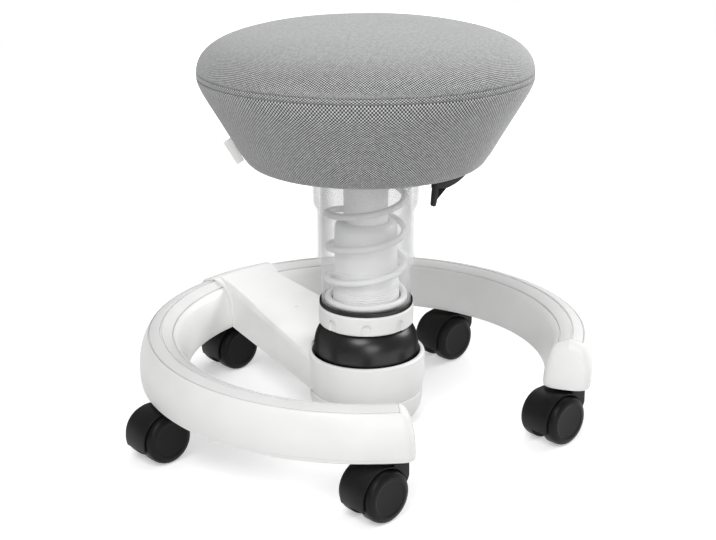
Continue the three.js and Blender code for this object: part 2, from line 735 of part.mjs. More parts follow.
function gimbalRing() {
  const low = PIVOT_Z - GIMBAL_HALF_HEIGHT;
  const high = PIVOT_Z + GIMBAL_HALF_HEIGHT;
  const band = ringBetween(GIMBAL_INNER, GIMBAL_OUTER, low, high, SMALL_SIDES);
  const pinEnd = EAR_INNER_X + EAR_THICK;
  const pins = [-1, 1].map((side) =>
    bar(
      TRUNNION_RADIUS,
      [(side * (GIMBAL_INNER + GIMBAL_OUTER)) / 2, 0, PIVOT_Z],
      [side * pinEnd, 0, PIVOT_Z],
    ),
  );
  const bore = bar(
    TRUNNION_RADIUS + RUN_GAP, [0, -GIMBAL_OUTER - OVERRUN, PIVOT_Z], [0, GIMBAL_OUTER + OVERRUN, PIVOT_Z],
  );
  return join(cut(band, bore), ...pins);
}

function strutFoot() {
  const flangeTop = FOOT_FLANGE_Z + FOOT_FLANGE_THICK;
  const body = turned(
    [
      [0, SPIGOT_FOOT_Z],
      [SPIGOT_RADIUS, SPIGOT_FOOT_Z, SPIGOT_RADIUS / 4],
      [SPIGOT_RADIUS, PIVOT_Z - 2 * FOOT_HUB_HALF_HEIGHT],
      [FOOT_HUB_RADIUS, PIVOT_Z - FOOT_HUB_HALF_HEIGHT],
      [FOOT_HUB_RADIUS, FOOT_FLANGE_Z],
      [FOOT_FLANGE_RADIUS, FOOT_FLANGE_Z],
      [FOOT_FLANGE_RADIUS, flangeTop],
      [0, flangeTop],
    ],
    SMALL_SIDES,
  );
  const trunnions = bar(TRUNNION_RADIUS, [0, -GIMBAL_OUTER, PIVOT_Z], [0, GIMBAL_OUTER, PIVOT_Z]);
  return join(body, trunnions);
}

// Ball sleeve: a spherical zone round the sway pivot, closed by a flat top.
function arcProfile(radius, lowZ, highZ, steps) {
  const from = Math.asin((lowZ - PIVOT_Z) / radius);
  const to = Math.asin((highZ - PIVOT_Z) / radius);
  return Array.from({ length: steps + 1 }, (_, i) => {
    const angle = from + ((to - from) * i) / steps;
    return [radius * Math.cos(angle), PIVOT_Z + radius * Math.sin(angle)];
  });
}

function ballSleeve() {
  const inner = arcProfile(
    BALL_RADIUS - BALL_WALL, BALL_FOOT_Z, BALL_TOP_Z - BALL_TOP_THICK, BALL_STEPS - 2,
  );
  return turned(
    [
      ...arcProfile(BALL_RADIUS, BALL_FOOT_Z, BALL_TOP_Z, BALL_STEPS),
      [THREAD_RADIUS + SEAT_GAP, BALL_TOP_Z],
      [THREAD_RADIUS + SEAT_GAP, BALL_TOP_Z - BALL_TOP_THICK],
      ...inner.reverse(),
    ],
    LARGE_SIDES,
  );
}

const guideFootZ = FOOT_FLANGE_Z + FOOT_FLANGE_THICK + SEAT_GAP;
const guideBore = GUIDE_RADIUS - GUIDE_WALL;

function guideTube() {
  return turned(
    [
      [guideBore, guideFootZ],
      [GUIDE_FLANGE_RADIUS, guideFootZ],
      [GUIDE_FLANGE_RADIUS, guideFootZ + GUIDE_FLANGE_THICK],
      [THREAD_RADIUS, guideFootZ + GUIDE_FLANGE_THICK],
      [THREAD_RADIUS, THREAD_TOP_Z, THREAD_SHOULDER],
      [GUIDE_RADIUS, THREAD_TOP_Z],
      [GUIDE_RADIUS, GUIDE_TOP_Z, GUIDE_SHOULDER],
      [GUIDE_LIP_RADIUS, GUIDE_TOP_Z],
      [LIFT_TUBE_RADIUS + RUN_GAP, GUIDE_TOP_Z],
      [LIFT_TUBE_RADIUS + RUN_GAP, GUIDE_TOP_Z - GUIDE_LIP_THICK],
      [guideBore, GUIDE_TOP_Z - GUIDE_LIP_THICK],
    ],
    COLUMN_SIDES,
  );
}

const bushTopZ = GUIDE_TOP_Z - GUIDE_LIP_THICK - SEAT_GAP;
const guideBush = () =>
  ringBetween(
    LIFT_TUBE_RADIUS + RUN_GAP, guideBore - SEAT_GAP, bushTopZ - BUSH_LENGTH, bushTopZ, COLUMN_SIDES,
  );

// Adjuster ring with arch-topped finger recesses.
const adjusterFootZ = BALL_TOP_Z + SEAT_GAP;
const adjusterTopZ = adjusterFootZ + ADJUSTER_HEIGHT;

function adjusterRing() {
  const body = turned(
    [
      [THREAD_RADIUS + RUN_GAP, adjusterFootZ],
      [ADJUSTER_RADIUS, adjusterFootZ, ADJUSTER_ROUND],
      [ADJUSTER_RADIUS, adjusterTopZ, ADJUSTER_ROUND],
      [THREAD_RADIUS + RUN_GAP, adjusterTopZ],
    ],
    LARGE_SIDES,
  );
  const half = RECESS_WIDTH / 2;
  const archZ = adjusterFootZ + RECESS_HEIGHT - half;
  const arch = Array.from({ length: RECESS_ARC_STEPS + 1 }, (_, i) => {
    const angle = (Math.PI * i) / RECESS_ARC_STEPS;
    return [half * Math.cos(angle), archZ + half * Math.sin(angle)];
  });
  const outline = [[half, adjusterFootZ - OVERRUN], ...arch, [-half, adjusterFootZ - OVERRUN]];
  const recesses = Array.from({ length: RECESS_COUNT }, (_, i) =>
    slab(outline, ADJUSTER_RADIUS - RECESS_DEPTH, ADJUSTER_RADIUS + OVERRUN)
      .rotateZ(radians(RECESS_TURN_DEGREES) + (2 * Math.PI * i) / RECESS_COUNT),
  );
  return cut(body, ...recesses);
}

// Spring seat: a shallow dish with a lip that holds the lower cover.
const dishFootZ = adjusterTopZ + SEAT_GAP;
const dishFloorZ = dishFootZ + DISH_FLOOR;

const springSeat = () =>
  turned(
    [
      [THREAD_RADIUS + RUN_GAP, dishFootZ],
      [DISH_RADIUS, dishFootZ],
      [DISH_RADIUS, dishFootZ + DISH_LIP_HEIGHT + DISH_FLOOR],
      [DISH_RADIUS - DISH_LIP, dishFootZ + DISH_LIP_HEIGHT + DISH_FLOOR],
      [DISH_RADIUS - DISH_LIP, dishFloorZ],
      [THREAD_RADIUS + RUN_GAP, dishFloorZ],
    ],
    LARGE_SIDES,
  );

const lowerCover = () =>
  ringBetween(
    LOWER_COVER_RADIUS - COVER_WALL, LOWER_COVER_RADIUS,
    dishFloorZ + SEAT_GAP, LOWER_COVER_TOP_Z, LARGE_SIDES,
  );

// Coil spring: one unbroken helical tube, nearly flat at both ends.
const coilFootZ = dishFloorZ + SEAT_GAP + WIRE_RADIUS;
const coilTopZ = SPRING_PLATE_Z - SEAT_GAP - WIRE_RADIUS;
const endRise = END_PITCH * END_TURNS_SHARE;
const openTurns = (coilTopZ - coilFootZ - 2 * endRise) / COIL_PITCH;
const coilTurns = openTurns + 2 * END_TURNS_SHARE;

function coilPoint(turn) {
  const low = Math.min(turn, END_TURNS_SHARE);
  const open = THREE.MathUtils.clamp(turn - END_TURNS_SHARE, 0, openTurns);
  const high = Math.max(turn - END_TURNS_SHARE - openTurns, 0);
  const angle = radians(COIL_START_DEGREES) + 2 * Math.PI * turn;
  return new THREE.Vector3(
    COIL_RADIUS * Math.cos(angle),
    COIL_RADIUS * Math.sin(angle),
    coilFootZ + END_PITCH * (low + high) + COIL_PITCH * open,
  );
}

function coilSpring() {
  const steps = Math.round(coilTurns * STEPS_PER_TURN);
  const rings = [];
  for (let i = 0; i <= steps; i++) {
    const turn = (coilTurns * i) / steps;
    const middle = coilPoint(turn);
    const outward = new THREE.Vector3(middle.x, middle.y, 0).normalize();
    const step = coilTurns / steps / 2;
    const along = coilPoint(Math.min(turn + step, coilTurns))
      .sub(coilPoint(Math.max(turn - step, 0)))
      .normalize();
    const upward = new THREE.Vector3().crossVectors(outward, along).normalize();
    rings.push(
      Array.from({ length: WIRE_SIDES }, (_, k) => {
        const angle = (2 * Math.PI * (k + 1 / 2)) / WIRE_SIDES;
        return middle
          .clone()
          .addScaledVector(outward, WIRE_RADIUS * Math.cos(angle))
          .addScaledVector(upward, WIRE_RADIUS * Math.sin(angle));
      }),
    );
  }
  return loft(rings);
}

// The least distance between stretches of the wire more than half a turn apart.
function leastCoilGap() {
  const samples = Math.round(coilTurns * STEPS_PER_TURN) * 2;
  const points = Array.from({ length: samples + 1 }, (_, i) => coilPoint((coilTurns * i) / samples));
  const apart = STEPS_PER_TURN;
  let least = Infinity;
  for (let i = 0; i < points.length; i++) {
    for (let j = i + apart; j < points.length; j++) {
      least = Math.min(least, points[i].distanceTo(points[j]));
    }
  }
  return least - 2 * WIRE_RADIUS;
}

// Gas lift: a guided tube, a cylinder that rises and turns in it, and a fixed rod.
const springPlate = () =>
  turned(
    [
      [LIFT_TUBE_RADIUS + SEAT_GAP, SPRING_PLATE_Z - SPRING_PLATE_HUB_DEPTH],
      [SPRING_PLATE_HUB, SPRING_PLATE_Z - SPRING_PLATE_HUB_DEPTH],
      [SPRING_PLATE_HUB, SPRING_PLATE_Z],
      [SPRING_PLATE_RADIUS, SPRING_PLATE_Z],
      [SPRING_PLATE_RADIUS, SPRING_PLATE_Z + SPRING_PLATE_THICK],
      [LIFT_TUBE_RADIUS + SEAT_GAP, SPRING_PLATE_Z + SPRING_PLATE_THICK],
    ],
    COLUMN_SIDES,
  );

const liftTube = () =>
  turned(
    [
      [ROD_RADIUS + RUN_GAP, LIFT_TUBE_FOOT_Z],
      [LIFT_TUBE_RADIUS, LIFT_TUBE_FOOT_Z],
      [LIFT_TUBE_RADIUS, LIFT_TUBE_TOP_Z],
      [CYLINDER_RADIUS + RUN_GAP, LIFT_TUBE_TOP_Z],
      [CYLINDER_RADIUS + RUN_GAP, LIFT_TUBE_TOP_Z - LIFT_LINER_LENGTH],
      [LIFT_TUBE_RADIUS - LIFT_TUBE_WALL, LIFT_TUBE_TOP_Z - LIFT_LINER_LENGTH],
      [LIFT_TUBE_RADIUS - LIFT_TUBE_WALL, LIFT_TUBE_FOOT_Z + LIFT_FLOOR],
      [ROD_RADIUS + RUN_GAP, LIFT_TUBE_FOOT_Z + LIFT_FLOOR],
    ],
    COLUMN_SIDES,
  );

const bearingZ = LIFT_TUBE_FOOT_Z + LIFT_FLOOR + SEAT_GAP;
const thrustBearing = () =>
  ringBetween(ROD_RADIUS + SEAT_GAP, BEARING_RADIUS, bearingZ, bearingZ + BEARING_THICK, PIN_SIDES);

const cylinderBore = CYLINDER_RADIUS - CYLINDER_WALL;
const valveFootZ = TAPER_TOP_Z - VALVE_BLOCK;

const pistonRod = () => {
  const clipTop = LIFT_TUBE_FOOT_Z - SEAT_GAP;
  return turned(
    [
      [0, clipTop - ROD_CLIP_THICK],
      [ROD_CLIP_RADIUS, clipTop - ROD_CLIP_THICK],
      [ROD_CLIP_RADIUS, clipTop],
      [ROD_RADIUS, clipTop],
      [ROD_RADIUS, PISTON_Z],
      [cylinderBore - SEAT_GAP, PISTON_Z],
      [cylinderBore - SEAT_GAP, PISTON_Z + PISTON_THICK],
      [0, PISTON_Z + PISTON_THICK],
    ],
    PIN_SIDES,
  );
};

const pressureCylinder = () =>
  turned(
    [
      [ROD_RADIUS + RUN_GAP, CYLINDER_FOOT_Z],
      [CYLINDER_RADIUS, CYLINDER_FOOT_Z],
      [CYLINDER_RADIUS, TAPER_FOOT_Z],
      [CYLINDER_RADIUS - CYLINDER_TAPER, TAPER_TOP_Z],
      [PIN_RADIUS + RUN_GAP, TAPER_TOP_Z],
      [PIN_RADIUS + RUN_GAP, valveFootZ],
      [cylinderBore, valveFootZ],
      [cylinderBore, CYLINDER_FOOT_Z + CYLINDER_END],
      [ROD_RADIUS + RUN_GAP, CYLINDER_FOOT_Z + CYLINDER_END],
    ],
    SMALL_SIDES,
  );

const pinTopZ = TAPER_TOP_Z + PIN_PROUD;
const releasePin = () => disc(PIN_RADIUS, pinTopZ - PIN_LENGTH, pinTopZ, PIN_SIDES);

const upperCover = () => {
  const stepTop = UPPER_COVER_STEP_Z + UPPER_COVER_STEP;
  const top = PLATE_Z - SEAT_GAP;
  return turned(
    [
      [UPPER_COVER_RADIUS - COVER_WALL, UPPER_COVER_FOOT_Z],
      [UPPER_COVER_RADIUS, UPPER_COVER_FOOT_Z],
      [UPPER_COVER_RADIUS, UPPER_COVER_STEP_Z],
      [UPPER_COLLAR_RADIUS, stepTop],
      [UPPER_COLLAR_RADIUS, top - UPPER_FLANGE_THICK],
      [UPPER_FLANGE_RADIUS, top - UPPER_FLANGE_THICK],
      [UPPER_FLANGE_RADIUS, top],
      [UPPER_COLLAR_RADIUS - COVER_WALL, top],
      [UPPER_COLLAR_RADIUS - COVER_WALL, stepTop],
      [UPPER_COVER_RADIUS - COVER_WALL, UPPER_COVER_STEP_Z],
    ],
    LARGE_SIDES,
  );
};

// Seat plate with its taper socket and the ears of the lever's pin.
const screwCorners = [[1, 1], [-1, 1], [-1, -1], [1, -1]];
const leverTurn = radians(LEVER_DEGREES);

function seatPlate() {
  const corners = screwCorners.map(([sx, sy]) => [sx * PLATE_HALF, sy * PLATE_HALF, PLATE_CORNER]);
  const sheet = prism(rounded(corners), PLATE_Z, PLATE_Z + PLATE_THICK);
  const hub = disc(SOCKET_HUB_RADIUS, TAPER_FOOT_Z, TAPER_TOP_Z, SMALL_SIDES);
  const bore = turned(
    [
      [0, TAPER_FOOT_Z - OVERRUN],
      [CYLINDER_RADIUS + SEAT_GAP, TAPER_FOOT_Z - OVERRUN],
      [CYLINDER_RADIUS + SEAT_GAP, TAPER_FOOT_Z],
      [CYLINDER_RADIUS - CYLINDER_TAPER + SEAT_GAP, TAPER_TOP_Z],
      [CYLINDER_RADIUS - CYLINDER_TAPER + SEAT_GAP, TAPER_TOP_Z + OVERRUN],
      [0, TAPER_TOP_Z + OVERRUN],
    ],
    SMALL_SIDES,
  );
  const holes = screwCorners.map(([sx, sy]) =>
    bar(
      SCREW_RADIUS + SEAT_GAP,
      [sx * SCREW_SPACING, sy * SCREW_SPACING, PLATE_Z - OVERRUN],
      [sx * SCREW_SPACING, sy * SCREW_SPACING, PLATE_Z + PLATE_THICK + OVERRUN],
    ),
  );
  const ears = [-1, 1].map((side) => {
    const near = side * (LEVER_WIDTH / 2 + RUN_GAP);
    const far = near + side * LEVER_EAR_THICK;
    const spanY = [Math.min(near, far), Math.max(near, far)];
    const outline = rounded([
      [LEVER_PIVOT - LEVER_BOSS, PLATE_Z],
      [LEVER_PIVOT + LEVER_BOSS, PLATE_Z],
      [LEVER_PIVOT + LEVER_BOSS, LEVER_PIN_Z + LEVER_BOSS, LEVER_BOSS],
      [LEVER_PIVOT - LEVER_BOSS, LEVER_PIN_Z + LEVER_BOSS, LEVER_BOSS],
    ]);
    const hole = bar(
      LEVER_PIN_RADIUS + SEAT_GAP,
      [LEVER_PIVOT, near - side * OVERRUN, LEVER_PIN_Z],
      [LEVER_PIVOT, far + side * OVERRUN, LEVER_PIN_Z],
    );
    return cut(slab(outline, ...spanY).rotateZ(leverTurn), hole.rotateZ(leverTurn));
  });
  return cut(join(sheet, hub, ...ears), bore, ...holes);
}

const leverPinHalf = LEVER_WIDTH / 2 + RUN_GAP + LEVER_EAR_THICK;
const leverPin = () =>
  bar(
    LEVER_PIN_RADIUS,
    [LEVER_PIVOT, -leverPinHalf, LEVER_PIN_Z],
    [LEVER_PIVOT, leverPinHalf, LEVER_PIN_Z],
  ).rotateZ(leverTurn);

const seatTopZ = SEAT_SEAM_Z + SEAT_CROWN;

// Release lever: an arm over the lift's pin, cranked down to a finned paddle at the rim.
function releaseLever() {
  const nose = pinTopZ + SEAT_GAP;
  const side = [
    [-LEVER_NOSE, nose],
    [SOCKET_HUB_RADIUS + 2 * RUN_GAP, nose],
    [LEVER_PIVOT - LEVER_BOSS, LEVER_PIN_Z],
    [LEVER_PIVOT, LEVER_PIN_Z - LEVER_BOSS],
    [LEVER_KNEE, LEVER_KNEE_Z - LEVER_THICK],
    [PADDLE_INNER, PADDLE_TOP_Z - LEVER_THICK],
    [PADDLE_OUTER - OVERRUN, PADDLE_TOP_Z - LEVER_THICK],
    [PADDLE_OUTER - OVERRUN, PADDLE_TOP_Z],
    [PADDLE_INNER + LEVER_THICK, PADDLE_TOP_Z],
    [LEVER_KNEE + LEVER_THICK, LEVER_KNEE_Z],
    [LEVER_PIVOT, LEVER_PIN_Z + LEVER_BOSS],
    [-LEVER_NOSE, nose + LEVER_THICK],
  ];
  const arm = slab(side, -LEVER_WIDTH / 2, LEVER_WIDTH / 2);
  const down = (drop) => PADDLE_TOP_Z - drop;
  const finRight = FIN_WIDTH - PADDLE_LEFT;
  const bellyEnd = BELLY_WIDTH - PADDLE_LEFT;
  const face = rounded([
    [-PADDLE_LEFT, down(0)],
    [-PADDLE_LEFT, down(FIN_DROP), FIN_TIP_ROUND],
    [finRight - FIN_TIP_ROUND, down(FIN_DROP), FIN_TIP_ROUND],
    [finRight, down(FIN_DROP - FIN_WIDTH)],
    [WEB_WIDTH - PADDLE_LEFT, down(WEB_DROP)],
    [bellyEnd, down(BELLY_DROP)],
    [(bellyEnd + PADDLE_RIGHT) / 2, down((BELLY_DROP + PADDLE_RIGHT_DROP) / 2 + FIN_TIP_ROUND)],
    [PADDLE_RIGHT, down(PADDLE_RIGHT_DROP)],
    [PADDLE_RIGHT, down(0)],
  ]);
  const paddle = prism(face, PADDLE_INNER, PADDLE_OUTER)
    .rotateX(Math.PI / 2)
    .rotateZ(Math.PI / 2);
  const rim = ringBetween(PADDLE_INNER, PADDLE_OUTER, 0, seatTopZ, LARGE_SIDES);
  const hole = bar(
    LEVER_PIN_RADIUS + SEAT_GAP,
    [LEVER_PIVOT, -LEVER_WIDTH, LEVER_PIN_Z],
    [LEVER_PIVOT, LEVER_WIDTH, LEVER_PIN_Z],
  );
  const whole = cut(join(arm, common(paddle, rim)), hole);
  return whole;
}

// Seat pan: a conical bowl with a floor and four screw bosses.
const coneSlope = (SEAT_SHOULDER_RADIUS - SEAT_FOOT_RADIUS) / (SEAT_SHOULDER_Z - SEAT_FOOT_Z);
const coneRadius = (z) => SEAT_FOOT_RADIUS + coneSlope * (z - SEAT_FOOT_Z);
const panOuter = (z) => coneRadius(z) - SKIRT_THICK - SEAT_GAP;
const panInner = (z) => panOuter(z) - PAN_WALL;
const panFootZ = SEAT_FOOT_Z + LIP_HEIGHT;

function seatPan() {
  const floorTop = PAN_FLOOR_Z + PAN_FLOOR_THICK;
  const bowl = turned(
    [
      [0, PAN_FLOOR_Z],
      [panInner(PAN_FLOOR_Z), PAN_FLOOR_Z],
      [panInner(panFootZ), panFootZ],
      [panOuter(panFootZ), panFootZ],
      [panOuter(PAN_TOP_Z), PAN_TOP_Z],
      [panInner(PAN_TOP_Z), PAN_TOP_Z],
      [panInner(floorTop), floorTop],
      [0, floorTop],
    ],
    SEAT_SIDES,
  );
  const bosses = screwCorners.map(([sx, sy]) =>
    bar(
      BOSS_RADIUS,
      [sx * SCREW_SPACING, sy * SCREW_SPACING, PLATE_Z + PLATE_THICK + SEAT_GAP],
      [sx * SCREW_SPACING, sy * SCREW_SPACING, PAN_FLOOR_Z + PAN_FLOOR_THICK / 2],
    ),
  );
  const holes = screwCorners.map(([sx, sy]) =>
    bar(
      SCREW_RADIUS + SEAT_GAP,
      [sx * SCREW_SPACING, sy * SCREW_SPACING, PLATE_Z],
      [sx * SCREW_SPACING, sy * SCREW_SPACING, PLATE_Z - SEAT_GAP + SCREW_LENGTH + 2 * SEAT_GAP],
    ),
  );
  return cut(join(bowl, ...bosses), ...holes);
}

function seatScrew([sx, sy]) {
  const headTop = PLATE_Z - SEAT_GAP;
  return turned(
    [
      [0, headTop - SCREW_HEAD_THICK],
      [SCREW_HEAD_RADIUS, headTop - SCREW_HEAD_THICK],
      [SCREW_HEAD_RADIUS, headTop],
      [SCREW_RADIUS, headTop],
      [SCREW_RADIUS, headTop + SCREW_LENGTH],
      [0, headTop + SCREW_LENGTH],
    ],
    PIN_SIDES / 2,
  ).translate(sx * SCREW_SPACING, sy * SCREW_SPACING, 0);
}

// Seat cushion: crowned top, seam round the widest line, cone drawn in to the foot.
function seatCushion() {
  const underZ = PAN_FLOOR_Z + PAN_FLOOR_THICK + SEAT_GAP;
  const crown = CROWN_SHARES.map(([r, h]) => [r * SEAT_WIDEST, SEAT_SEAM_Z + h * SEAT_CROWN]);
  const skirtInner = (z) => coneRadius(z) - SKIRT_THICK;
  return turned(
    [
      [0, underZ],
      [panInner(underZ) - SEAT_GAP, underZ],
      [panInner(PAN_TOP_Z) - SEAT_GAP, PAN_TOP_Z + SEAT_GAP],
      [skirtInner(PAN_TOP_Z), PAN_TOP_Z + SEAT_GAP],
      [skirtInner(panFootZ), panFootZ],
      [skirtInner(SEAT_FOOT_Z), SEAT_FOOT_Z, SKIRT_THICK / 4],
      [SEAT_FOOT_RADIUS, SEAT_FOOT_Z, SKIRT_THICK / 2],
      [SEAT_SHOULDER_RADIUS, SEAT_SHOULDER_Z, seatTopZ - SEAT_SHOULDER_Z],
      [SEAT_WIDEST, SEAT_SEAM_Z - SEAM_HALF],
      [SEAT_WIDEST - SEAM_DEPTH, SEAT_SEAM_Z],
      [SEAT_WIDEST, SEAT_SEAM_Z + SEAM_HALF],
      ...crown,
      [0, seatTopZ],
    ],
    SEAT_SIDES,
  );
}

// Fabric tag: a small flag that stands out from the side of the cone.
function seatTag() {
  const tagTopZ = TAG_FOOT_Z + TAG_LENGTH;
  const root = (z) => coneRadius(z) + SEAT_GAP;
  const outline = [
    [root(TAG_FOOT_Z), TAG_FOOT_Z],
    [root(TAG_FOOT_Z) + TAG_REACH, TAG_FOOT_Z - coneSlope * TAG_REACH],
    [root(tagTopZ) + TAG_REACH, tagTopZ - coneSlope * TAG_REACH],
    [root(tagTopZ), tagTopZ],
  ];
  return slab(outline, -TAG_THICK / 2, TAG_THICK / 2).rotateZ(radians(TAG_DEGREES));
}

// One castor in its own frame: the stem's axis is X = Y = 0 and the wheel trails to -X.
const hoodInner = WHEEL_RADIUS + HOOD_GAP;
const hoodOuter = hoodInner + HOOD_THICK;
const towerTopZ = RING_FOOT_Z - RUN_GAP;
const wheelX = -CASTOR_TRAIL;

function castorHousing() {
  const arc = Array.from({ length: HOOD_STEPS + 1 }, (_, i) => {
    const span = HOOD_NECK_DEGREES - HOOD_END_DEGREES;
    const angle = radians(HOOD_END_DEGREES + (span * i) / HOOD_STEPS);
    return [wheelX + hoodOuter * Math.cos(angle), WHEEL_RADIUS + hoodOuter * Math.sin(angle)];
  });
  const front = wheelX + TOWER_FRONT;
  const [endX, endZ] = arc[0];
  const outline = [
    ...arc,
    [wheelX + TOWER_BACK, towerTopZ],
    [front, towerTopZ],
    [front, WHEEL_RADIUS + TOWER_FOOT],
    [wheelX + AXLE_BOSS, WHEEL_RADIUS - AXLE_BOSS],
    [wheelX - AXLE_BOSS, WHEEL_RADIUS - AXLE_BOSS],
    [endX + HOOD_THICK, endZ],
  ];
  const body = slab(outline, -HOOD_HALF_WIDTH, HOOD_HALF_WIDTH);
  const pockets = [-1, 1].map((side) =>
    bar(
      hoodInner,
      [wheelX, side * WEB_HALF, WHEEL_RADIUS],
      [wheelX, side * (HOOD_HALF_WIDTH + OVERRUN), WHEEL_RADIUS],
      POCKET_SIDES,
    ),
  );
  const axleBore = bar(
    AXLE_RADIUS + SEAT_GAP,
    [wheelX, -HOOD_HALF_WIDTH, WHEEL_RADIUS],
    [wheelX, HOOD_HALF_WIDTH, WHEEL_RADIUS],
  );
  const stemBore = bar(STEM_RADIUS + RUN_GAP, [0, 0, STEM_FOOT_Z - SEAT_GAP], [0, 0, towerTopZ + OVERRUN]);
  return cut(body, ...pockets, axleBore, stemBore);
}

const castorStem = () => bar(STEM_RADIUS, [0, 0, STEM_FOOT_Z], [0, 0, stemTopZ]);

const axleHalf = CASTOR_HALF_WIDTH - AXLE_INSET;
const castorAxle = () =>
  bar(AXLE_RADIUS, [wheelX, -axleHalf, WHEEL_RADIUS], [wheelX, axleHalf, WHEEL_RADIUS]);

function castorWheel(side) {
  const bore = AXLE_RADIUS + SEAT_GAP;
  const flats = Math.cos(Math.PI / WHEEL_SIDES); // the flats stand on the floor, not the corners
  const wheel = turned(
    [
      [0, CASTOR_HALF_WIDTH],
      [WHEEL_FACE, CASTOR_HALF_WIDTH],
      [WHEEL_BEVEL, WHEEL_BEVEL_Y],
      [WHEEL_RIM / flats, WHEEL_RIM_Y],
      [WHEEL_RADIUS / flats, HOOD_HALF_WIDTH],
      [WHEEL_RADIUS / flats, WEB_HALF + RUN_GAP],
      [bore, WEB_HALF + RUN_GAP],
      [bore, axleHalf + SEAT_GAP],
      [0, axleHalf + SEAT_GAP],
    ],
    WHEEL_SIDES,
  );
  return wheel
    .rotateZ(Math.PI / WHEEL_SIDES)
    .rotateX((-side * Math.PI) / 2)
    .translate(wheelX, 0, WHEEL_RADIUS);
}

// The whole stool
const stool = new THREE.Group();

const base = new THREE.Group();
base.add(
  piece("foot_ring", footRing(), whitePlastic),
  piece("tread_outer", treadStrip(1), whitePlastic),
  piece("tread_inner", treadStrip(-1), whitePlastic),
  piece("hub_arm", hubArm(), whitePlastic),
  piece("arm_bolt_left", armBolt(-1), steel),
  piece("arm_bolt_right", armBolt(1), steel),
  piece("joint_housing", jointHousing(), whitePlastic),
  piece("housing_cap", housingCap(), greyPlastic),
  piece("flex_block", flexBlock(), blackRubber),
);
stool.add(base);

const castorNames = ["left_front", "left_rear", "rear", "right_rear", "right_front"];
castorAngles.forEach((angle, i) => {
  const castor = new THREE.Group();
  const name = castorNames[i];
  castor.position.set(RING_RADIUS * Math.sin(angle), RING_RADIUS * Math.cos(angle), 0);
  castor.add(
    piece(`castor_housing_${name}`, castorHousing(), blackPlastic),
    piece(`castor_stem_${name}`, castorStem(), steel),
    piece(`castor_axle_${name}`, castorAxle(), steel),
    piece(`castor_wheel_${name}_a`, castorWheel(-1), blackPlastic),
    piece(`castor_wheel_${name}_b`, castorWheel(1), blackPlastic),
  );
  stool.add(castor);
});

const column = new THREE.Group();
column.add(
  piece("gimbal_ring", gimbalRing(), steel),
  piece("strut_foot", strutFoot(), steel),
  piece("ball_sleeve", ballSleeve(), blackRubber),
  piece("guide_tube", guideTube(), greyPlastic),
  piece("guide_bush", guideBush(), whitePlastic),
  piece("adjuster_ring", adjusterRing(), whitePlastic),
  piece("spring_seat", springSeat(), blackRubber),
  piece("lower_cover", lowerCover(), clearPlastic),
  piece("coil_spring", coilSpring(), springPaint),
  piece("spring_plate", springPlate(), steel),
  piece("lift_tube", liftTube(), greyPlastic),
  piece("thrust_bearing", thrustBearing(), steel),
  piece("piston_rod", pistonRod(), steel),
);
stool.add(column);

const seat = new THREE.Group();
const lever = piece("release_lever", releaseLever(), blackPlastic);
lever.rotation.z = leverTurn;
seat.add(
  piece("pressure_cylinder", pressureCylinder(), steel),
  piece("release_pin", releasePin(), steel),
  piece("upper_cover", upperCover(), clearPlastic),
  piece("seat_plate", seatPlate(), blackPlastic),
  piece("seat_pan", seatPan(), blackPlastic),
  piece("seat_cushion", seatCushion(), fabric),
  piece("seat_tag", seatTag(), tagFabric),
  piece("lever_pin", leverPin(), steel),
  lever,
  ...screwCorners.map((corner, i) => piece(`seat_screw_${i + 1}`, seatScrew(corner), steel)),
);
stool.add(seat);

// The origin is the middle of the footprint on the floor, not the column's axis, because
// the mouth and the trailing castors lie to one side of it.
const footprint = new THREE.Box3().setFromObject(stool);
const middle = footprint.getCenter(new THREE.Vector3());
stool.position.set(-middle.x, -middle.y, 0);

console.log(`least gap between coils ${leastCoilGap().toFixed(2)} mm`);
console.log(`column axis at x ${(-middle.x).toFixed(3)} y ${(-middle.y).toFixed(3)} mm`);

const part = new THREE.Group();
part.add(stool);
export default part;
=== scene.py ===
"""The wobble stool's looks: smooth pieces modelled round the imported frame, with their materials,
a plain floor, soft light and a camera at the photograph's angle."""

import json
import math

import bmesh
import bpy
from mathutils import Matrix, Vector, noise


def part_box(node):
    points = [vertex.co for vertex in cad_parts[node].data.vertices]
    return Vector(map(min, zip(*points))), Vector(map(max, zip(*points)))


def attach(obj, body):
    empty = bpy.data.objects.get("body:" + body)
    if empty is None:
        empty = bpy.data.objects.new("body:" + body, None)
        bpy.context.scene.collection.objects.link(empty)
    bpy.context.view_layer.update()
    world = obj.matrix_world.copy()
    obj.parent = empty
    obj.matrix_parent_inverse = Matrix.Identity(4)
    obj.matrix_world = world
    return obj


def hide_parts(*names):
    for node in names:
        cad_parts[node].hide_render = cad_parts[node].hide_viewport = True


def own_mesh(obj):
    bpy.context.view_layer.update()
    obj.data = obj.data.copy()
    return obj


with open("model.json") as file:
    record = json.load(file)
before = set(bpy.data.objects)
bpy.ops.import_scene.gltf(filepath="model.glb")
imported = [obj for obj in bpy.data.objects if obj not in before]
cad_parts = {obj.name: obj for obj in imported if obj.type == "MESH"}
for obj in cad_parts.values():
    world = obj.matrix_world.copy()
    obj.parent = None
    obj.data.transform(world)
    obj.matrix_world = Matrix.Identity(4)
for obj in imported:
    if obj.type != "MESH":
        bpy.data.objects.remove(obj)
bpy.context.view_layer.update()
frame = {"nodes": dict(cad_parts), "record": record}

MM = 0.001
SMOOTH_STEPS = 128  # round the column
SOFT_STEPS = 3  # in each rounded corner
CASTORS = ("left_front", "left_rear", "rear", "right_rear", "right_front")


def middle_of(node):
    """The middle of a node's box at rest."""
    low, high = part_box(node)
    return (low + high) / 2


column = middle_of("ball_sleeve")
COLUMN = Vector((column.x, column.y, 0))


# Shader groups

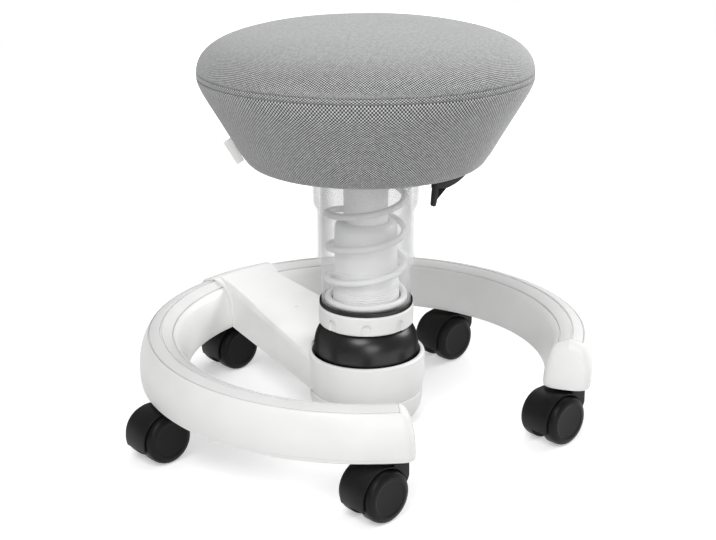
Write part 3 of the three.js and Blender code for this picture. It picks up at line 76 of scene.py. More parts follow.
MIX_A, MIX_B, MIXED = 6, 7, 2  # the colour sockets of a Mix node
SLOW_SCALE, SLOW_DETAIL, GRAIN_DETAIL = 22, 4, 3
SLOW_LOW, SLOW_HIGH = 0.3, 0.7
GAP_SIDE, THREAD_SIDE = -0.18, 0.34  # the weave's wave where gap ends and full thread begins


def shader_group(name, inputs, outputs):
    """An empty group with named number inputs and the given outputs."""
    group = bpy.data.node_groups.new(name, "ShaderNodeTree")
    for label, kind, value in inputs:
        socket = group.interface.new_socket(label, in_out="INPUT", socket_type=kind)
        if value is not None:
            socket.default_value = value
    for label, kind in outputs:
        group.interface.new_socket(label, in_out="OUTPUT", socket_type=kind)
    start = group.nodes.new("NodeGroupInput")
    end = group.nodes.new("NodeGroupOutput")
    return group, start, end


def math_node(tree, operation, a, b=None):
    """A Math node between numbers or sockets. Returns its output."""
    node = tree.nodes.new("ShaderNodeMath")
    node.operation = operation
    for i, value in enumerate((a, b)):
        if value is None:
            continue
        if isinstance(value, (int, float)):
            node.inputs[i].default_value = value
        else:
            tree.links.new(value, node.inputs[i])
    return node.outputs[0]


def map_range(tree, value, low, high, to_low, to_high):
    """Carries a value from one range to another, kept inside it. Returns the new value."""
    node = tree.nodes.new("ShaderNodeMapRange")
    tree.links.new(value, node.inputs["Value"])
    for label, given in (
        ("From Min", low),
        ("From Max", high),
        ("To Min", to_low),
        ("To Max", to_high),
    ):
        if isinstance(given, (int, float)):
            node.inputs[label].default_value = given
        else:
            tree.links.new(given, node.inputs[label])
    return node.outputs["Result"]


def mix_colour(tree, factor, a, b):
    """Mixes two colours, given as numbers or sockets. Returns the mixed one."""
    node = tree.nodes.new("ShaderNodeMix")
    node.data_type = "RGBA"
    tree.links.new(factor, node.inputs["Factor"])
    for socket, value in ((node.inputs[MIX_A], a), (node.inputs[MIX_B], b)):
        if isinstance(value, tuple):
            socket.default_value = (*value, 1)
        else:
            tree.links.new(value, socket)
    return node.outputs[MIXED]


def moulded_grain_group():
    """Fine moulded grain: a height, and a slow unevenness from 0 to 1."""
    group, start, end = shader_group(
        "moulded_grain",
        [("Position", "NodeSocketVector", None), ("Grain Scale", "NodeSocketFloat", 1500.0)],
        [("Height", "NodeSocketFloat"), ("Unevenness", "NodeSocketFloat")],
    )
    grain = group.nodes.new("ShaderNodeTexNoise")
    grain.inputs["Detail"].default_value = GRAIN_DETAIL
    group.links.new(start.outputs["Position"], grain.inputs["Vector"])
    group.links.new(start.outputs["Grain Scale"], grain.inputs["Scale"])
    slow = group.nodes.new("ShaderNodeTexNoise")
    slow.inputs["Scale"].default_value = SLOW_SCALE
    slow.inputs["Detail"].default_value = SLOW_DETAIL
    group.links.new(start.outputs["Position"], slow.inputs["Vector"])
    group.links.new(grain.outputs["Fac"], end.inputs["Height"])
    uneven = map_range(group, slow.outputs["Fac"], SLOW_LOW, SLOW_HIGH, 0.0, 1.0)
    group.links.new(uneven, end.inputs["Unevenness"])
    return group


def weave_group():
    """A plain weave of two thread directions: a mask of the raised threads and a height."""
    group, start, end = shader_group(
        "plain_weave",
        [("Cloth", "NodeSocketVector", None), ("Thread Pitch", "NodeSocketFloat", 0.0019)],
        [("Raised", "NodeSocketFloat"), ("Height", "NodeSocketFloat")],
    )
    split = group.nodes.new("ShaderNodeSeparateXYZ")
    group.links.new(start.outputs["Cloth"], split.inputs["Vector"])
    turns = math_node(group, "DIVIDE", 2 * math.pi, start.outputs["Thread Pitch"])
    waves = [
        math_node(group, "SINE", math_node(group, "MULTIPLY", split.outputs[axis], turns))
        for axis in ("X", "Y")
    ]
    product = math_node(group, "MULTIPLY", *waves)
    raised = map_range(group, product, GAP_SIDE, THREAD_SIDE, 0.0, 1.0)
    height = map_range(group, product, -1.0, 1.0, 0.0, 1.0)
    group.links.new(raised, end.inputs["Raised"])
    group.links.new(height, end.inputs["Height"])
    return group


MOULDED_GRAIN = moulded_grain_group()
WEAVE = weave_group()


# Materials

GRAIN_DEPTH = 0.0002
CLEAR_GRAIN, STEEL_GRAIN = 400, 700
POLISH_FADES = (0.3, 0.65)  # from the full polish to none, as a view turns edge on
HAZE_LOW, HAZE_TINT = 0.97, 0.8
LIGHT_LOST = 0.03  # the share of light that a clear wall holds back
CLOTH_ROUGH, CLOTH_BUMP = 0.9, 0.55
GAP_LIGHTEST = 1.1
YARN_LOW, YARN_HIGH = 0.35, 0.65  # the grain's heights between which the yarn lightens
FUZZ = 0.35
DULLEST_PLATING = 0.86

# From where the raised threads begin to hide the gaps, as a view turns edge on, to where they
# hide most of them, how much they hide then, and the share of thread that is seen then.
GAPS_HIDE = (0.35, 0.8)
MOST_HIDDEN = 0.85
THREAD_SHARE = 0.54


def start_material(name, roughness, metallic=0.0, **sockets):
    """A new material with its shader's own sockets set."""
    finish = bpy.data.materials.new(name)
    finish.use_nodes = True
    tree = finish.node_tree
    shader = tree.nodes["Principled BSDF"]
    shader.inputs["Roughness"].default_value = roughness
    shader.inputs["Metallic"].default_value = metallic
    for label, value in sockets.items():
        shader.inputs[label.replace("_", " ")].default_value = value
    place = tree.nodes.new("ShaderNodeTexCoord")
    return finish, tree, shader, place


def add_grain(tree, place, scale):
    """Puts the grain group in a material, on Object coordinates. Returns the group's node."""
    group = tree.nodes.new("ShaderNodeGroup")
    group.node_tree = MOULDED_GRAIN
    group.inputs["Grain Scale"].default_value = scale
    tree.links.new(place.outputs["Object"], group.inputs["Position"])
    return group


def edge_on(tree):
    """From 0 where a surface faces the eye to 1 where it is seen edge on."""
    edge = tree.nodes.new("ShaderNodeLayerWeight")
    edge.inputs["Blend"].default_value = 0.5
    return edge.outputs["Facing"]


def seen_by(tree, *rays):
    """1 for the named kinds of ray of the Light Path node, and 0 for the others."""
    paths = tree.nodes.new("ShaderNodeLightPath")
    seen = paths.outputs[rays[0]]
    for ray in rays[1:]:
        seen = math_node(tree, "MAXIMUM", seen, paths.outputs[ray])
    return seen


def shaded(colour, share):
    """A colour made darker or lighter."""
    return tuple(c * share for c in colour)


def colour_and_gloss(tree, shader, group, dark, light, rough_low, rough_high):
    """Lets colour and roughness wander a little over the surface."""
    uneven = group.outputs["Unevenness"]
    tree.links.new(mix_colour(tree, uneven, dark, light), shader.inputs["Base Color"])
    rough = map_range(tree, uneven, 0.0, 1.0, rough_low, rough_high)
    tree.links.new(rough, shader.inputs["Roughness"])


def add_bump(tree, shader, height, strength, distance):
    """Gives a surface relief from a height, as deep as a distance in metres."""
    bump = tree.nodes.new("ShaderNodeBump")
    bump.inputs["Strength"].default_value = strength
    bump.inputs["Distance"].default_value = distance
    tree.links.new(height, bump.inputs["Height"])
    tree.links.new(bump.outputs["Normal"], shader.inputs["Normal"])


def moulded_plastic(name, dark, light, rough_low, rough_high, grain=1500.0, bump=0.15, **sockets):
    """Moulded plastic or paint with a fine grain and slightly uneven colour and gloss."""
    finish, tree, shader, place = start_material(name, rough_low, **sockets)
    group = add_grain(tree, place, grain)
    colour_and_gloss(tree, shader, group, dark, light, rough_low, rough_high)
    add_bump(tree, shader, group.outputs["Height"], bump, GRAIN_DEPTH)
    return finish


def polished_rubber(name, dark, light, rough_low, rough_high, **sockets):
    """Black rubber with a polish that shines where it faces the eye and is gone at its edges."""
    finish = moulded_plastic(name, dark, light, rough_low, rough_high, bump=0.03, **sockets)
    tree = finish.node_tree
    polish = map_range(tree, edge_on(tree), *POLISH_FADES, 1.0, 0.0)
    tree.links.new(polish, tree.nodes["Principled BSDF"].inputs["Coat Weight"])
    return finish


def clear_plastic(name, tint, face_alpha, edge_alpha):
    """Clear plastic that is denser where it is seen edge on, and hardly shades what it covers."""
    finish, tree, shader, place = start_material(name, 0.08, IOR=1.49)
    group = add_grain(tree, place, CLEAR_GRAIN)
    haze = map_range(tree, group.outputs["Unevenness"], 0.0, 1.0, HAZE_LOW, 1.0)
    hazed = mix_colour(tree, haze, shaded(tint, HAZE_TINT), tint)
    tree.links.new(hazed, shader.inputs["Base Color"])
    seen = map_range(tree, edge_on(tree), 0.3, 1.0, face_alpha, edge_alpha)
    lit = seen_by(tree, "Is Shadow Ray", "Is Diffuse Ray")
    tree.links.new(map_range(tree, lit, 0.0, 1.0, seen, LIGHT_LOST), shader.inputs["Alpha"])
    return finish


def woven_cloth(name, dark, light, pitch, depth, fleck=0.0):
    """Cloth whose weave follows the piece's own UV map, laid out in metres, of flecked yarn."""
    finish, tree, shader, place = start_material(
        name, CLOTH_ROUGH, Sheen_Weight=0.3, Sheen_Roughness=0.5
    )
    weave = tree.nodes.new("ShaderNodeGroup")
    weave.node_tree = WEAVE
    weave.inputs["Thread Pitch"].default_value = pitch
    tree.links.new(place.outputs["UV"], weave.inputs["Cloth"])
    group = add_grain(tree, place, 1 / pitch)
    yarn = map_range(tree, group.outputs["Height"], YARN_LOW, YARN_HIGH, 0.0, 1.0)
    low = mix_colour(tree, group.outputs["Unevenness"], dark, shaded(dark, GAP_LIGHTEST))
    high = mix_colour(tree, yarn, shaded(light, 1 - fleck), light)
    hidden = map_range(tree, edge_on(tree), *GAPS_HIDE, 0.0, MOST_HIDDEN)
    raised = map_range(tree, hidden, 0.0, 1.0, weave.outputs["Raised"], THREAD_SHARE)
    tree.links.new(mix_colour(tree, raised, low, high), shader.inputs["Base Color"])
    fuzz = math_node(tree, "MULTIPLY", group.outputs["Height"], FUZZ)
    relief = map_range(tree, hidden, 0.0, 1.0, weave.outputs["Height"], 0.5)
    add_bump(tree, shader, math_node(tree, "ADD", relief, fuzz), CLOTH_BUMP, depth)
    return finish


def plated_steel(name, colour, rough_low, rough_high):
    """Bright steel with slightly uneven plating."""
    finish, tree, shader, place = start_material(name, rough_low, metallic=1.0)
    group = add_grain(tree, place, STEEL_GRAIN)
    dull = shaded(colour, DULLEST_PLATING)
    colour_and_gloss(tree, shader, group, dull, colour, rough_low, rough_high)
    return finish


# A finish for each of the record's material slots, and for the lift tube alone a lighter copy of
# the pale grey tube plastic, painted light against the shade that the seat casts on it.
FINISHES = {
    "white_plastic": moulded_plastic(
        "satin_white", (0.83, 0.83, 0.82), (0.87, 0.87, 0.865), 0.34, 0.42, bump=0.08
    ),
    "grey_plastic": moulded_plastic(
        "pale_grey_tube", (0.83, 0.83, 0.83), (0.87, 0.87, 0.872), 0.3, 0.4, bump=0.05
    ),
    "clear_plastic": clear_plastic("clear_cover", (0.8, 0.805, 0.81), 0.1, 0.5),
    "black_plastic": moulded_plastic(
        "grained_black", (0.003, 0.003, 0.0032), (0.006, 0.006, 0.0063), 0.42, 0.52, bump=0.3,
        Specular_IOR_Level=0.22,
    ),
    "wheel_plastic": moulded_plastic(
        "wheel_black", (0.003, 0.003, 0.0032), (0.005, 0.005, 0.0053), 0.38, 0.46, bump=0.12,
        Specular_IOR_Level=0.18,
    ),
    "black_rubber": polished_rubber(
        "ball_rubber", (0.002, 0.002, 0.002), (0.003, 0.003, 0.003), 0.5, 0.6,
        Specular_IOR_Level=0.04, Coat_Roughness=0.3, Coat_IOR=1.5,
    ),
    "black_paint": moulded_plastic(
        "powder_black", (0.008, 0.008, 0.008), (0.014, 0.014, 0.014), 0.5, 0.6,
        grain=1100.0, bump=0.25,
    ),
    "steel": plated_steel("zinc_steel", (0.62, 0.63, 0.64), 0.24, 0.36),
    # Painted light: the lift tube's plastic is made lighter than the guide tube's, to stand in for
    # light where the seat shades it.
    "lift_painted_light": moulded_plastic(
        "lift_white_painted_light", (0.93, 0.93, 0.93), (0.95, 0.95, 0.95), 0.3, 0.38, bump=0.04
    ),
    "spring_steel": moulded_plastic(
        "spring_paint", (0.8, 0.8, 0.803), (0.85, 0.85, 0.853), 0.28, 0.36, bump=0.05
    ),
    "seat_fabric": woven_cloth(
        "seat_weave", (0.016, 0.017, 0.018), (0.715, 0.72, 0.724), 0.0028, 0.0006, fleck=0.3
    ),
    "tag_fabric": woven_cloth("tag_weave", (0.86, 0.86, 0.85), (0.94, 0.94, 0.93), 0.0007, 0.0001),
}
TREAD = moulded_plastic(
    "tread_white", (0.76, 0.76, 0.755), (0.8, 0.8, 0.795), 0.5, 0.6, grain=900.0, bump=0.3
)

slot_of = {part["node"]: part["material_slot"] for part in frame["record"]["subparts"]}
for node, shown in frame["nodes"].items():
    shown.data.materials.clear()
    shown.data.materials.append(FINISHES.get(slot_of[node], FINISHES["steel"]))


# Modelling helpers

MERGE_REACH = 1e-6
RIM_ANGLE = math.radians(25)  # an edge sharper than this counts as a slab's rim


def outline(bm, corners, closed=True):
    """A wire of [across, up, softness] corners in the XZ plane, in millimetres, with its soft
    corners rounded. Returns its vertices and edges."""
    before = set(bm.verts)
    points = [bm.verts.new((c[0] * MM, 0, c[1] * MM)) for c in corners]
    ends = zip(points, points[1:] + points[:1]) if closed else zip(points, points[1:])
    for a, b in list(ends):
        bm.edges.new((a, b))
    for point, corner in zip(points, corners):
        if len(corner) > 2:
            bmesh.ops.bevel(
                bm, geom=[point], offset=corner[2] * MM, offset_type="OFFSET",
                segments=SOFT_STEPS, profile=0.5, affect="VERTICES", material=-1,
            )
    fresh = [v for v in bm.verts if v not in before]
    return fresh + list({e for v in fresh for e in v.link_edges})


def spin(bm, geom, degrees=360.0, steps=SMOOTH_STEPS, rise=0.0):
    """Carries a wire or face round Z, rising by so many millimetres in all."""
    made = bmesh.ops.spin(
        bm, geom=geom, cent=(0, 0, 0), axis=(0, 0, 1), dvec=(0, 0, rise * MM / steps),
        angle=math.radians(degrees), steps=steps, use_merge=degrees == 360 and rise == 0,
        use_duplicate=False,
    )
    return made["geom_last"]


def turned(corners, closed=True, steps=SMOOTH_STEPS):
    """A new shape: an outline spun all the way round the column."""
    bm = bmesh.new()
    spin(bm, outline(bm, corners, closed), steps=steps)
    return bm


def turn(bm, verts, degrees, axis="Z"):
    """Turns vertices about an axis through the origin."""
    about = Matrix.Rotation(math.radians(degrees), 3, axis)
    bmesh.ops.rotate(bm, cent=(0, 0, 0), matrix=about, verts=verts)


def arc(radius, start, end, steps):
    """Points along a circle from one angle to another, in degrees."""
    angles = [math.radians(start + (end - start) * i / steps) for i in range(steps + 1)]
    return [(radius * math.cos(a), radius * math.sin(a)) for a in angles]


def face_of(bm, corners):
    """A flat face with the given outline."""
    edges = [e for e in outline(bm, corners) if isinstance(e, bmesh.types.BMEdge)]
    return bmesh.ops.edgeloop_fill(bm, edges=edges)["faces"][0]


def sweep(bm, corners, start, degrees, steps):
    """A bar with the given outline, carried round Z from a starting angle."""
    section = face_of(bm, corners)
    turn(bm, section.verts[:], start)
    spin(bm, [section, *section.verts, *section.edges], degrees, steps=steps)


def drawn_out(bm, cap):
    """Extrudes a face and leaves it in place. Returns the new face."""
    grown = bmesh.ops.extrude_face_region(bm, geom=[cap])
    return next(f for f in grown["geom"] if isinstance(f, bmesh.types.BMFace))


def soften(bm, edges, width, segments=2):
    """Rounds edges over a width in millimetres."""
    bmesh.ops.bevel(
        bm, geom=edges, offset=width * MM, offset_type="OFFSET", segments=segments, profile=0.5,
        affect="EDGES", clamp_overlap=True, material=-1,
    )


def slab(bm, corners, low, high, bevel=0.0, segments=2):
    """A flat outline of the XZ plane made as thick as from low to high along Y."""
    before = set(bm.verts)
    face = face_of(bm, corners)
    bmesh.ops.translate(bm, vec=(0, low * MM, 0), verts=face.verts[:])
    far = drawn_out(bm, face)
    bmesh.ops.translate(bm, vec=(0, (high - low) * MM, 0), verts=far.verts[:])
    fresh = [v for v in bm.verts if v not in before]
    faces = {f for v in fresh for f in v.link_faces}
    bmesh.ops.recalc_face_normals(bm, faces=list(faces))
    if bevel:
        edges = {e for v in fresh for e in v.link_edges}
        rims = [e for e in edges if e.is_manifold and e.calc_face_angle(0) > RIM_ANGLE]
        soften(bm, rims, bevel, segments)
        fresh = [v for v in bm.verts if v not in before]
    return fresh


def rod(bm, radius, start, end, sides=32, bevel=0.0):
    """A round bar between two points, in millimetres."""
    start, end = Vector(start), Vector(end)
    line = end - start
    aim = line.to_track_quat("Z", "Y").to_matrix().to_4x4()
    place = Matrix.Translation((start + end) / 2 * MM) @ aim
    made = bmesh.ops.create_cone(
        bm, cap_ends=True, segments=sides, radius1=radius * MM, radius2=radius * MM,
        depth=line.length * MM, matrix=place,
    )
    if bevel:
        edges = {e for v in made["verts"] for e in v.link_edges}
        rims = [e for e in edges if any(len(f.verts) > 4 for f in e.link_faces)]
        soften(bm, rims, bevel)


def mesh_from(name, bm):
    """A mesh from a finished shape."""
    mesh = bpy.data.meshes.new(name)
    bm.to_mesh(mesh)
    bm.free()
    return mesh


def carved(bm, cutter):
    """The shape with the cutter's room taken out of it."""
    shape = bpy.data.objects.new("shape", mesh_from("shape", bm))
    tool = bpy.data.objects.new("tool", mesh_from("tool", cutter))
    for thing in (shape, tool):
        bpy.context.scene.collection.objects.link(thing)
    cut = shape.modifiers.new("cut", "BOOLEAN")
    cut.operation, cut.solver, cut.object = "DIFFERENCE", "EXACT", tool
    cut.use_self = True
    bpy.context.view_layer.update()
    result = bmesh.new()
    done = shape.evaluated_get(bpy.context.evaluated_depsgraph_get())
    result.from_mesh(done.to_mesh())
    done.to_mesh_clear()
    for thing in (shape, tool):
        mesh = thing.data
        bpy.data.objects.remove(thing)
        bpy.data.meshes.remove(mesh)
    return result


def piece(name, bm, body, slot, replaces=(), finish=None, at=COLUMN, sharp=30.0):
    """Closes a shape's seams, puts it in place and makes it a piece that rides on a body."""
    bmesh.ops.remove_doubles(bm, verts=bm.verts[:], dist=MERGE_REACH)
    bmesh.ops.recalc_face_normals(bm, faces=bm.faces[:])
    bmesh.ops.translate(bm, vec=at, verts=bm.verts[:])
    mesh = mesh_from(name, bm)
    mesh.shade_smooth()
    mesh.set_sharp_from_angle(angle=math.radians(sharp))
    mesh.materials.append(finish or FINISHES[slot])
    made = bpy.data.objects.new(name, mesh)
    bpy.context.scene.collection.objects.link(made)
    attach(made, body)
    if replaces:
        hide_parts(*replaces)
    return made


# Foot ring

RING_R, RING_FOOT, RING_HALF_ARC = 205.6, 55.4, 145.85
CREST = (1.9, 48.9)
OUTER_SLOPE, INNER_SLOPE = -0.2668, 0.416
RECESS_OUTER, RECESS_INNER = 14.6, -11.2
TREAD_DEPTH, TREAD_PROUD = 2.4, 0.3
TREAD_SHORT = 0.12  # degrees left free at each end of the recess
TIP_SOFT, TIP_REACH, TIP_TALL = 4.5, 0.0006, 0.0007
SWEEP_STEPS = 156
NOSE_DEGREES = 4.1
NOSE_STEPS = (0.15, 0.3, 0.45, 0.6, 0.72, 0.82, 0.9, 0.955, 0.985, 0.996, 1.0)
NOSE_WIDE, NOSE_TALL, NOSE_LEAST = 3, 2.3, 0.1  # how full its rounding is, and its blunt tip
RIB_GAP, RIB_HALF = 33.66, 1.2  # degrees between ribs, and half a rib's thickness
SOCKET_R, SOCKET_TOP = 10.6, 38


def on_slope(across, lift=0.0):
    """A point on the ring's ridged top, or that far above it."""
    slope = OUTER_SLOPE if across > CREST[0] else INNER_SLOPE
    return across, CREST[1] + slope * (across - CREST[0]) + lift


def on_ring(corners):
    """Moves corners given from the middle of the ring's foot out to where the ring is."""
    return [(RING_R + c[0], RING_FOOT + c[1], *c[2:]) for c in corners]


OUTSIDE = [
    (22.4, 0), (23.2, 0.8), (23.2, 3.4), (23.8, 3.9), (24.4, 16.1, 5.5), (23.2, 26.9, 5),
    (19.9, 37.7, 4), (15.6, 45.2, 2),
]
INSIDE = [
    (-11.9, 43.1, 1.2), (-15.8, 39.8, 3), (-20.4, 28.4, 5), (-23.0, 12.7, 4), (-23.7, 3.9),
    (-23.2, 3.4), (-23.2, 0.8), (-22.4, 0),
]
CHANNEL = [
    (-19.7, 10.8, 4), (-10.0, 37.0, 5), (1.9, 42.0, 4), (13.7, 37.6, 5), (18.2, 26.9, 4),
    (20.4, 13.7, 4),
]


def add_nose(bm, side):
    """The rounded end of the ring past the treads, drawn out and in step by step."""
    cap = face_of(bm, on_ring([*OUTSIDE, (*CREST, 1.5), *INSIDE]))
    start = 90 + side * RING_HALF_ARC
    turn(bm, cap.verts[:], start)
    wide, tall = 1.0, 1.0
    for along in NOSE_STEPS:
        width = max((1 - along**NOSE_WIDE) ** (1 / NOSE_WIDE), NOSE_LEAST)
        height = max((1 - along**NOSE_TALL) ** (1 / NOSE_TALL), NOSE_LEAST)
        cap = drawn_out(bm, cap)
        angle = math.radians(start + side * along * NOSE_DEGREES)
        for v in cap.verts:
            radius = RING_R * MM + (math.hypot(v.co.x, v.co.y) - RING_R * MM) * width / wide
            up = RING_FOOT * MM + (v.co.z - RING_FOOT * MM) * height / tall
            v.co = (radius * math.cos(angle), radius * math.sin(angle), up)
        wide, tall = width, height


def castor_angle(k):
    """Where the kth castor stands round the ring, counted from the left front."""
    return math.radians(90 - 72 * (k - 2))


def foot_ring():
    """The open ring: a hollow shell with a recess for the treads, ribs and castor sockets."""
    bm = bmesh.new()
    recess = [
        (*on_slope(RECESS_OUTER), 0.3), on_slope(RECESS_OUTER, -TREAD_DEPTH),
        (CREST[0], CREST[1] - TREAD_DEPTH),
        on_slope(RECESS_INNER, -TREAD_DEPTH), (*on_slope(RECESS_INNER), 0.3),
    ]
    wall = on_ring([*OUTSIDE, *recess, *INSIDE, (-19.7, 0), *CHANNEL, (20.2, 0)])
    sweep(bm, wall, 90 - RING_HALF_ARC, 2 * RING_HALF_ARC, SWEEP_STEPS)
    for side in (-1, 1):
        add_nose(bm, side)
    rib = on_ring([
        (-20.2, 0.3), (-20.2, 11), (-10.6, 38), (1.9, 42.8), (14.4, 38.4), (19, 27), (21, 14),
        (20.8, 0.3),
    ])
    for k in range(4):
        for side in (-1, 1):
            turn(bm, slab(bm, rib, -RIB_HALF, RIB_HALF), 90 + side * RIB_GAP * (k + 0.5))
    for k in range(len(CASTORS)):
        x, y = RING_R * math.cos(castor_angle(k)), RING_R * math.sin(castor_angle(k))
        rod(bm, SOCKET_R, (x, y, RING_FOOT + 0.2), (x, y, RING_FOOT + SOCKET_TOP), bevel=0.6)
    return bm


def tread(near, far):
    """A grip strip on one slope of the ring, its free corners rounded at both ends."""
    bm = bmesh.new()
    section = on_ring([
        on_slope(near, -TREAD_DEPTH), on_slope(far, -TREAD_DEPTH),
        (*on_slope(far, TREAD_PROUD), 0.45), (*on_slope(near, TREAD_PROUD), 0.45),
    ])
    end = RING_HALF_ARC - TREAD_SHORT
    sweep(bm, section, 90 - end, 2 * end, SWEEP_STEPS)
    bmesh.ops.recalc_face_normals(bm, faces=bm.faces[:])
    far_radius = (RING_R + far) * MM
    tips = [
        e for e in bm.edges
        if all(abs(math.hypot(v.co.x, v.co.y) - far_radius) < TIP_REACH for v in e.verts)
        and any(len(f.verts) > 4 for f in e.link_faces)
        and abs(e.verts[0].co.z - e.verts[1].co.z) > TIP_TALL
    ]
    soften(bm, tips, TIP_SOFT, segments=5)
    return bm


piece("foot_ring_shell", foot_ring(), "base", "white_plastic", ["foot_ring"])
piece("tread_strip_outer", tread(3.2, 13.1), "base", "white_plastic", ["tread_outer"], TREAD)
piece("tread_strip_inner", tread(0.6, -9.7), "base", "white_plastic", ["tread_inner"], TREAD)


# Hub arm

ARM_REACH = 181.9
ARM_TOP, ARM_FOOT = (67.5, 102.4), (35.5, 55.6)  # heights at the hub and at the ring
ARM_HALF, ARM_WALL = (58.0, 34.0), 4.0
ARM_STEPS = (45, 90, 135, 180)
END_SHORT, END_LEAN = 21.6, 22  # how the arm's end meets the ring's curved side
HUB_ROOM_R, HUB_ROOM_TOP = 56.8, 150
DIMPLE_R, DIMPLE_Y, DIMPLE_DEEP, DIMPLE_TOP = 3.0, 110, 0.2, 110
ARM_RIB_HALF = 1.5
ARM_RIBS = ((40, 64, 58.5, 100), (47, 76, 99, 140), (55, 84, 139, 182))  # heights, then reach
SADDLE_HALF_ARC, SADDLE_PROUD, SADDLE_SKIN, SADDLE_SOFT = 11.1, 2.6, 0.25, 1.7
RING_MIDDLE = 24


def arm_at(root, tip, y):
    """What goes evenly from one value at the hub to another at the ring."""
    return root + (tip - root) * y / ARM_REACH


def arm_height(y):
    """How tall the arm's side is."""
    return arm_at(*ARM_TOP, y) - arm_at(*ARM_FOOT, y)


def arm_share(z, y):
    """How far up the arm's side a height is, from 0 at its foot to 1 at its top."""
    return (z - arm_at(*ARM_FOOT, y)) / arm_height(y)


def hub_arm():
    """The arm from the hub's collar out to the band that clasps the ring, open underneath."""
    shell = bmesh.new()
    half, wall = ARM_HALF[0], ARM_WALL
    top, foot, tip_foot = ARM_TOP[0], *ARM_FOOT
    cap = face_of(shell, [
        (-half, foot), (-half, top, 5.5), (half, top, 5.5), (half, foot),
        (half - wall, foot), (half - wall, top - wall, 2.5), (wall - half, top - wall, 2.5),
        (wall - half, foot),
    ])
    base = 0
    for y in ARM_STEPS:
        cap = drawn_out(shell, cap)
        for v in cap.verts:
            share = arm_share(v.co.z / MM, base)
            v.co.x *= arm_at(*ARM_HALF, y) / arm_at(*ARM_HALF, base)
            v.co.y = y * MM
            v.co.z = (arm_at(*ARM_FOOT, y) + share * arm_height(y)) * MM
        base = y
    for v in drawn_out(shell, cap).verts:
        share = arm_share(v.co.z / MM, base)
        reach = RING_R - END_SHORT + END_LEAN * max(share, 0) ** 4
        v.co.y = math.sqrt(reach**2 - (v.co.x / MM) ** 2) * MM
        v.co.z = (tip_foot + share * (RING_FOOT + CREST[1] + SADDLE_PROUD - tip_foot)) * MM
    bmesh.ops.recalc_face_normals(shell, faces=shell.faces[:])
    room = bmesh.new()
    rod(room, HUB_ROOM_R, (0, 0, 0), (0, 0, HUB_ROOM_TOP), sides=SMOOTH_STEPS)
    dimple_floor = arm_at(*ARM_TOP, DIMPLE_Y) - DIMPLE_DEEP
    rod(room, DIMPLE_R, (0, DIMPLE_Y, dimple_floor), (0, DIMPLE_Y, DIMPLE_TOP))
    body = carved(shell, room)
    spin(body, outline(body, [
        (55.15, 34.2), (57.3, 34.2, 0.5), (59.7, 46.5, 3), (59.7, 75, 2.4), (55.15, 75, 1.0),
    ]))
    for low, high, near, far in ARM_RIBS:
        rib = [
            (-ARM_RIB_HALF, low), (-ARM_RIB_HALF, high), (ARM_RIB_HALF, high),
            (ARM_RIB_HALF, low),
        ]
        slab(body, rib, near, far)
    add_saddle(body)
    return body


def faces_out(face):
    """Whether a face of the saddle looks away from the middle of the ring's section."""
    centre = face.calc_center_median()
    away = Vector((centre.x, centre.y, 0)).normalized()
    from_middle = centre - away * RING_R * MM - Vector((0, 0, (RING_FOOT + RING_MIDDLE) * MM))
    return from_middle.dot(face.normal) > 0


def add_saddle(bm):
    """The band that clasps the ring: over its inside and top, and a short way down outside."""
    out, skin = SADDLE_PROUD, SADDLE_SKIN
    band = [
        (-23.7 - out, 0.2), (-23.7 - out, 4), (-23.0 - out, 13, 4), (-20.4 - out, 29, 5),
        (-16.2 - out, 41.4, 3), (-13.2, 46.4, 3), (CREST[0], CREST[1] + out, 5),
        (17.0, 47.8, 3), (22.3, 39.2, 4), (25.8, 27.6, 5), (24.3 + out, 16.2, 2),
        (24.1 + out, 14.8), (24.2 + skin, 14.8), (24.4 + skin, 16.2), (23.2 + skin, 27),
        (19.9 + skin, 37.8), (15.6 + skin, 45.5), (1.9, 49.5), (-12, 43.6), (-16 - skin, 40),
        (-20.6 - skin, 28.4), (-23.2 - skin, 12.7), (-23.9 - skin, 4), (-23.9 - skin, 0.2),
    ]
    before = set(bm.verts)
    sweep(bm, on_ring(band), 90 - SADDLE_HALF_ARC, 2 * SADDLE_HALF_ARC, 16)
    fresh = [v for v in bm.verts if v not in before]
    faces = list({f for v in fresh for f in v.link_faces})
    bmesh.ops.recalc_face_normals(bm, faces=faces)
    bm.normal_update()
    ends = [f for f in faces if len(f.verts) > 8]
    rims = [
        e for f in ends for e in f.edges
        if faces_out(next(g for g in e.link_faces if g is not f))
    ]
    soften(bm, rims, SADDLE_SOFT, segments=4)


piece("hub_arm_shell", hub_arm(), "base", "white_plastic", ["hub_arm"], sharp=28)


# Joint housing and its cap


def joint_housing():
    """The cup under the arm's collar, with a ledge and two ears for the gimbal."""
    bm = turned([
        (0, 15), (43.3, 15), (43.3, 39.5), (50.5, 45.5), (50.5, 52), (54.7, 52), (54.7, 33.9),
        (57.8, 33.9, 0.4), (57.8, 26, 4), (55.8, 15, 3), (51.5, 8, 2.5), (46.3, 8, 0.5),
        (46.3, 11.3), (0, 11.3),
    ], closed=False)
    for side in (-1, 1):
        ear = [(side * 31.5, 40), (side * 31.5, 86, 3), (side * 38.5, 86, 3), (side * 38.5, 40)]
        slab(bm, ear, -8, 8, bevel=0.6)
    return bm


piece("joint_housing_cup", joint_housing(), "base", "white_plastic", ["joint_housing"])
piece(
    "housing_cap_disc",
    turned([(0, 8), (44.6, 8, 0.6), (46, 9.4), (46, 11), (0, 11)], closed=False),
    "base", "grey_plastic", ["housing_cap"],
)


# Ball sleeve, adjuster ring and spring seat

BALL_R, BALL_Z = 53.4, 79.0
SHOULDER_Z, SHOULDER_RISE, SHOULDER_FULL = 70.0, 42.55, 3.29
BALL_WALL, BALL_FOOT, BALL_TOP, BALL_ROOF = 3.6, 57, 104.4, 102.3
ARCHES, ARCH_START = 8, 3
ARCH_HALF, ARCH_FOOT, ARCH_SPRING = 5.0, 100, 113.0
ARCH_FLOOR, ARCH_OUT = 45.7, 52  # how near the column a notch reaches, and its cutter's far side


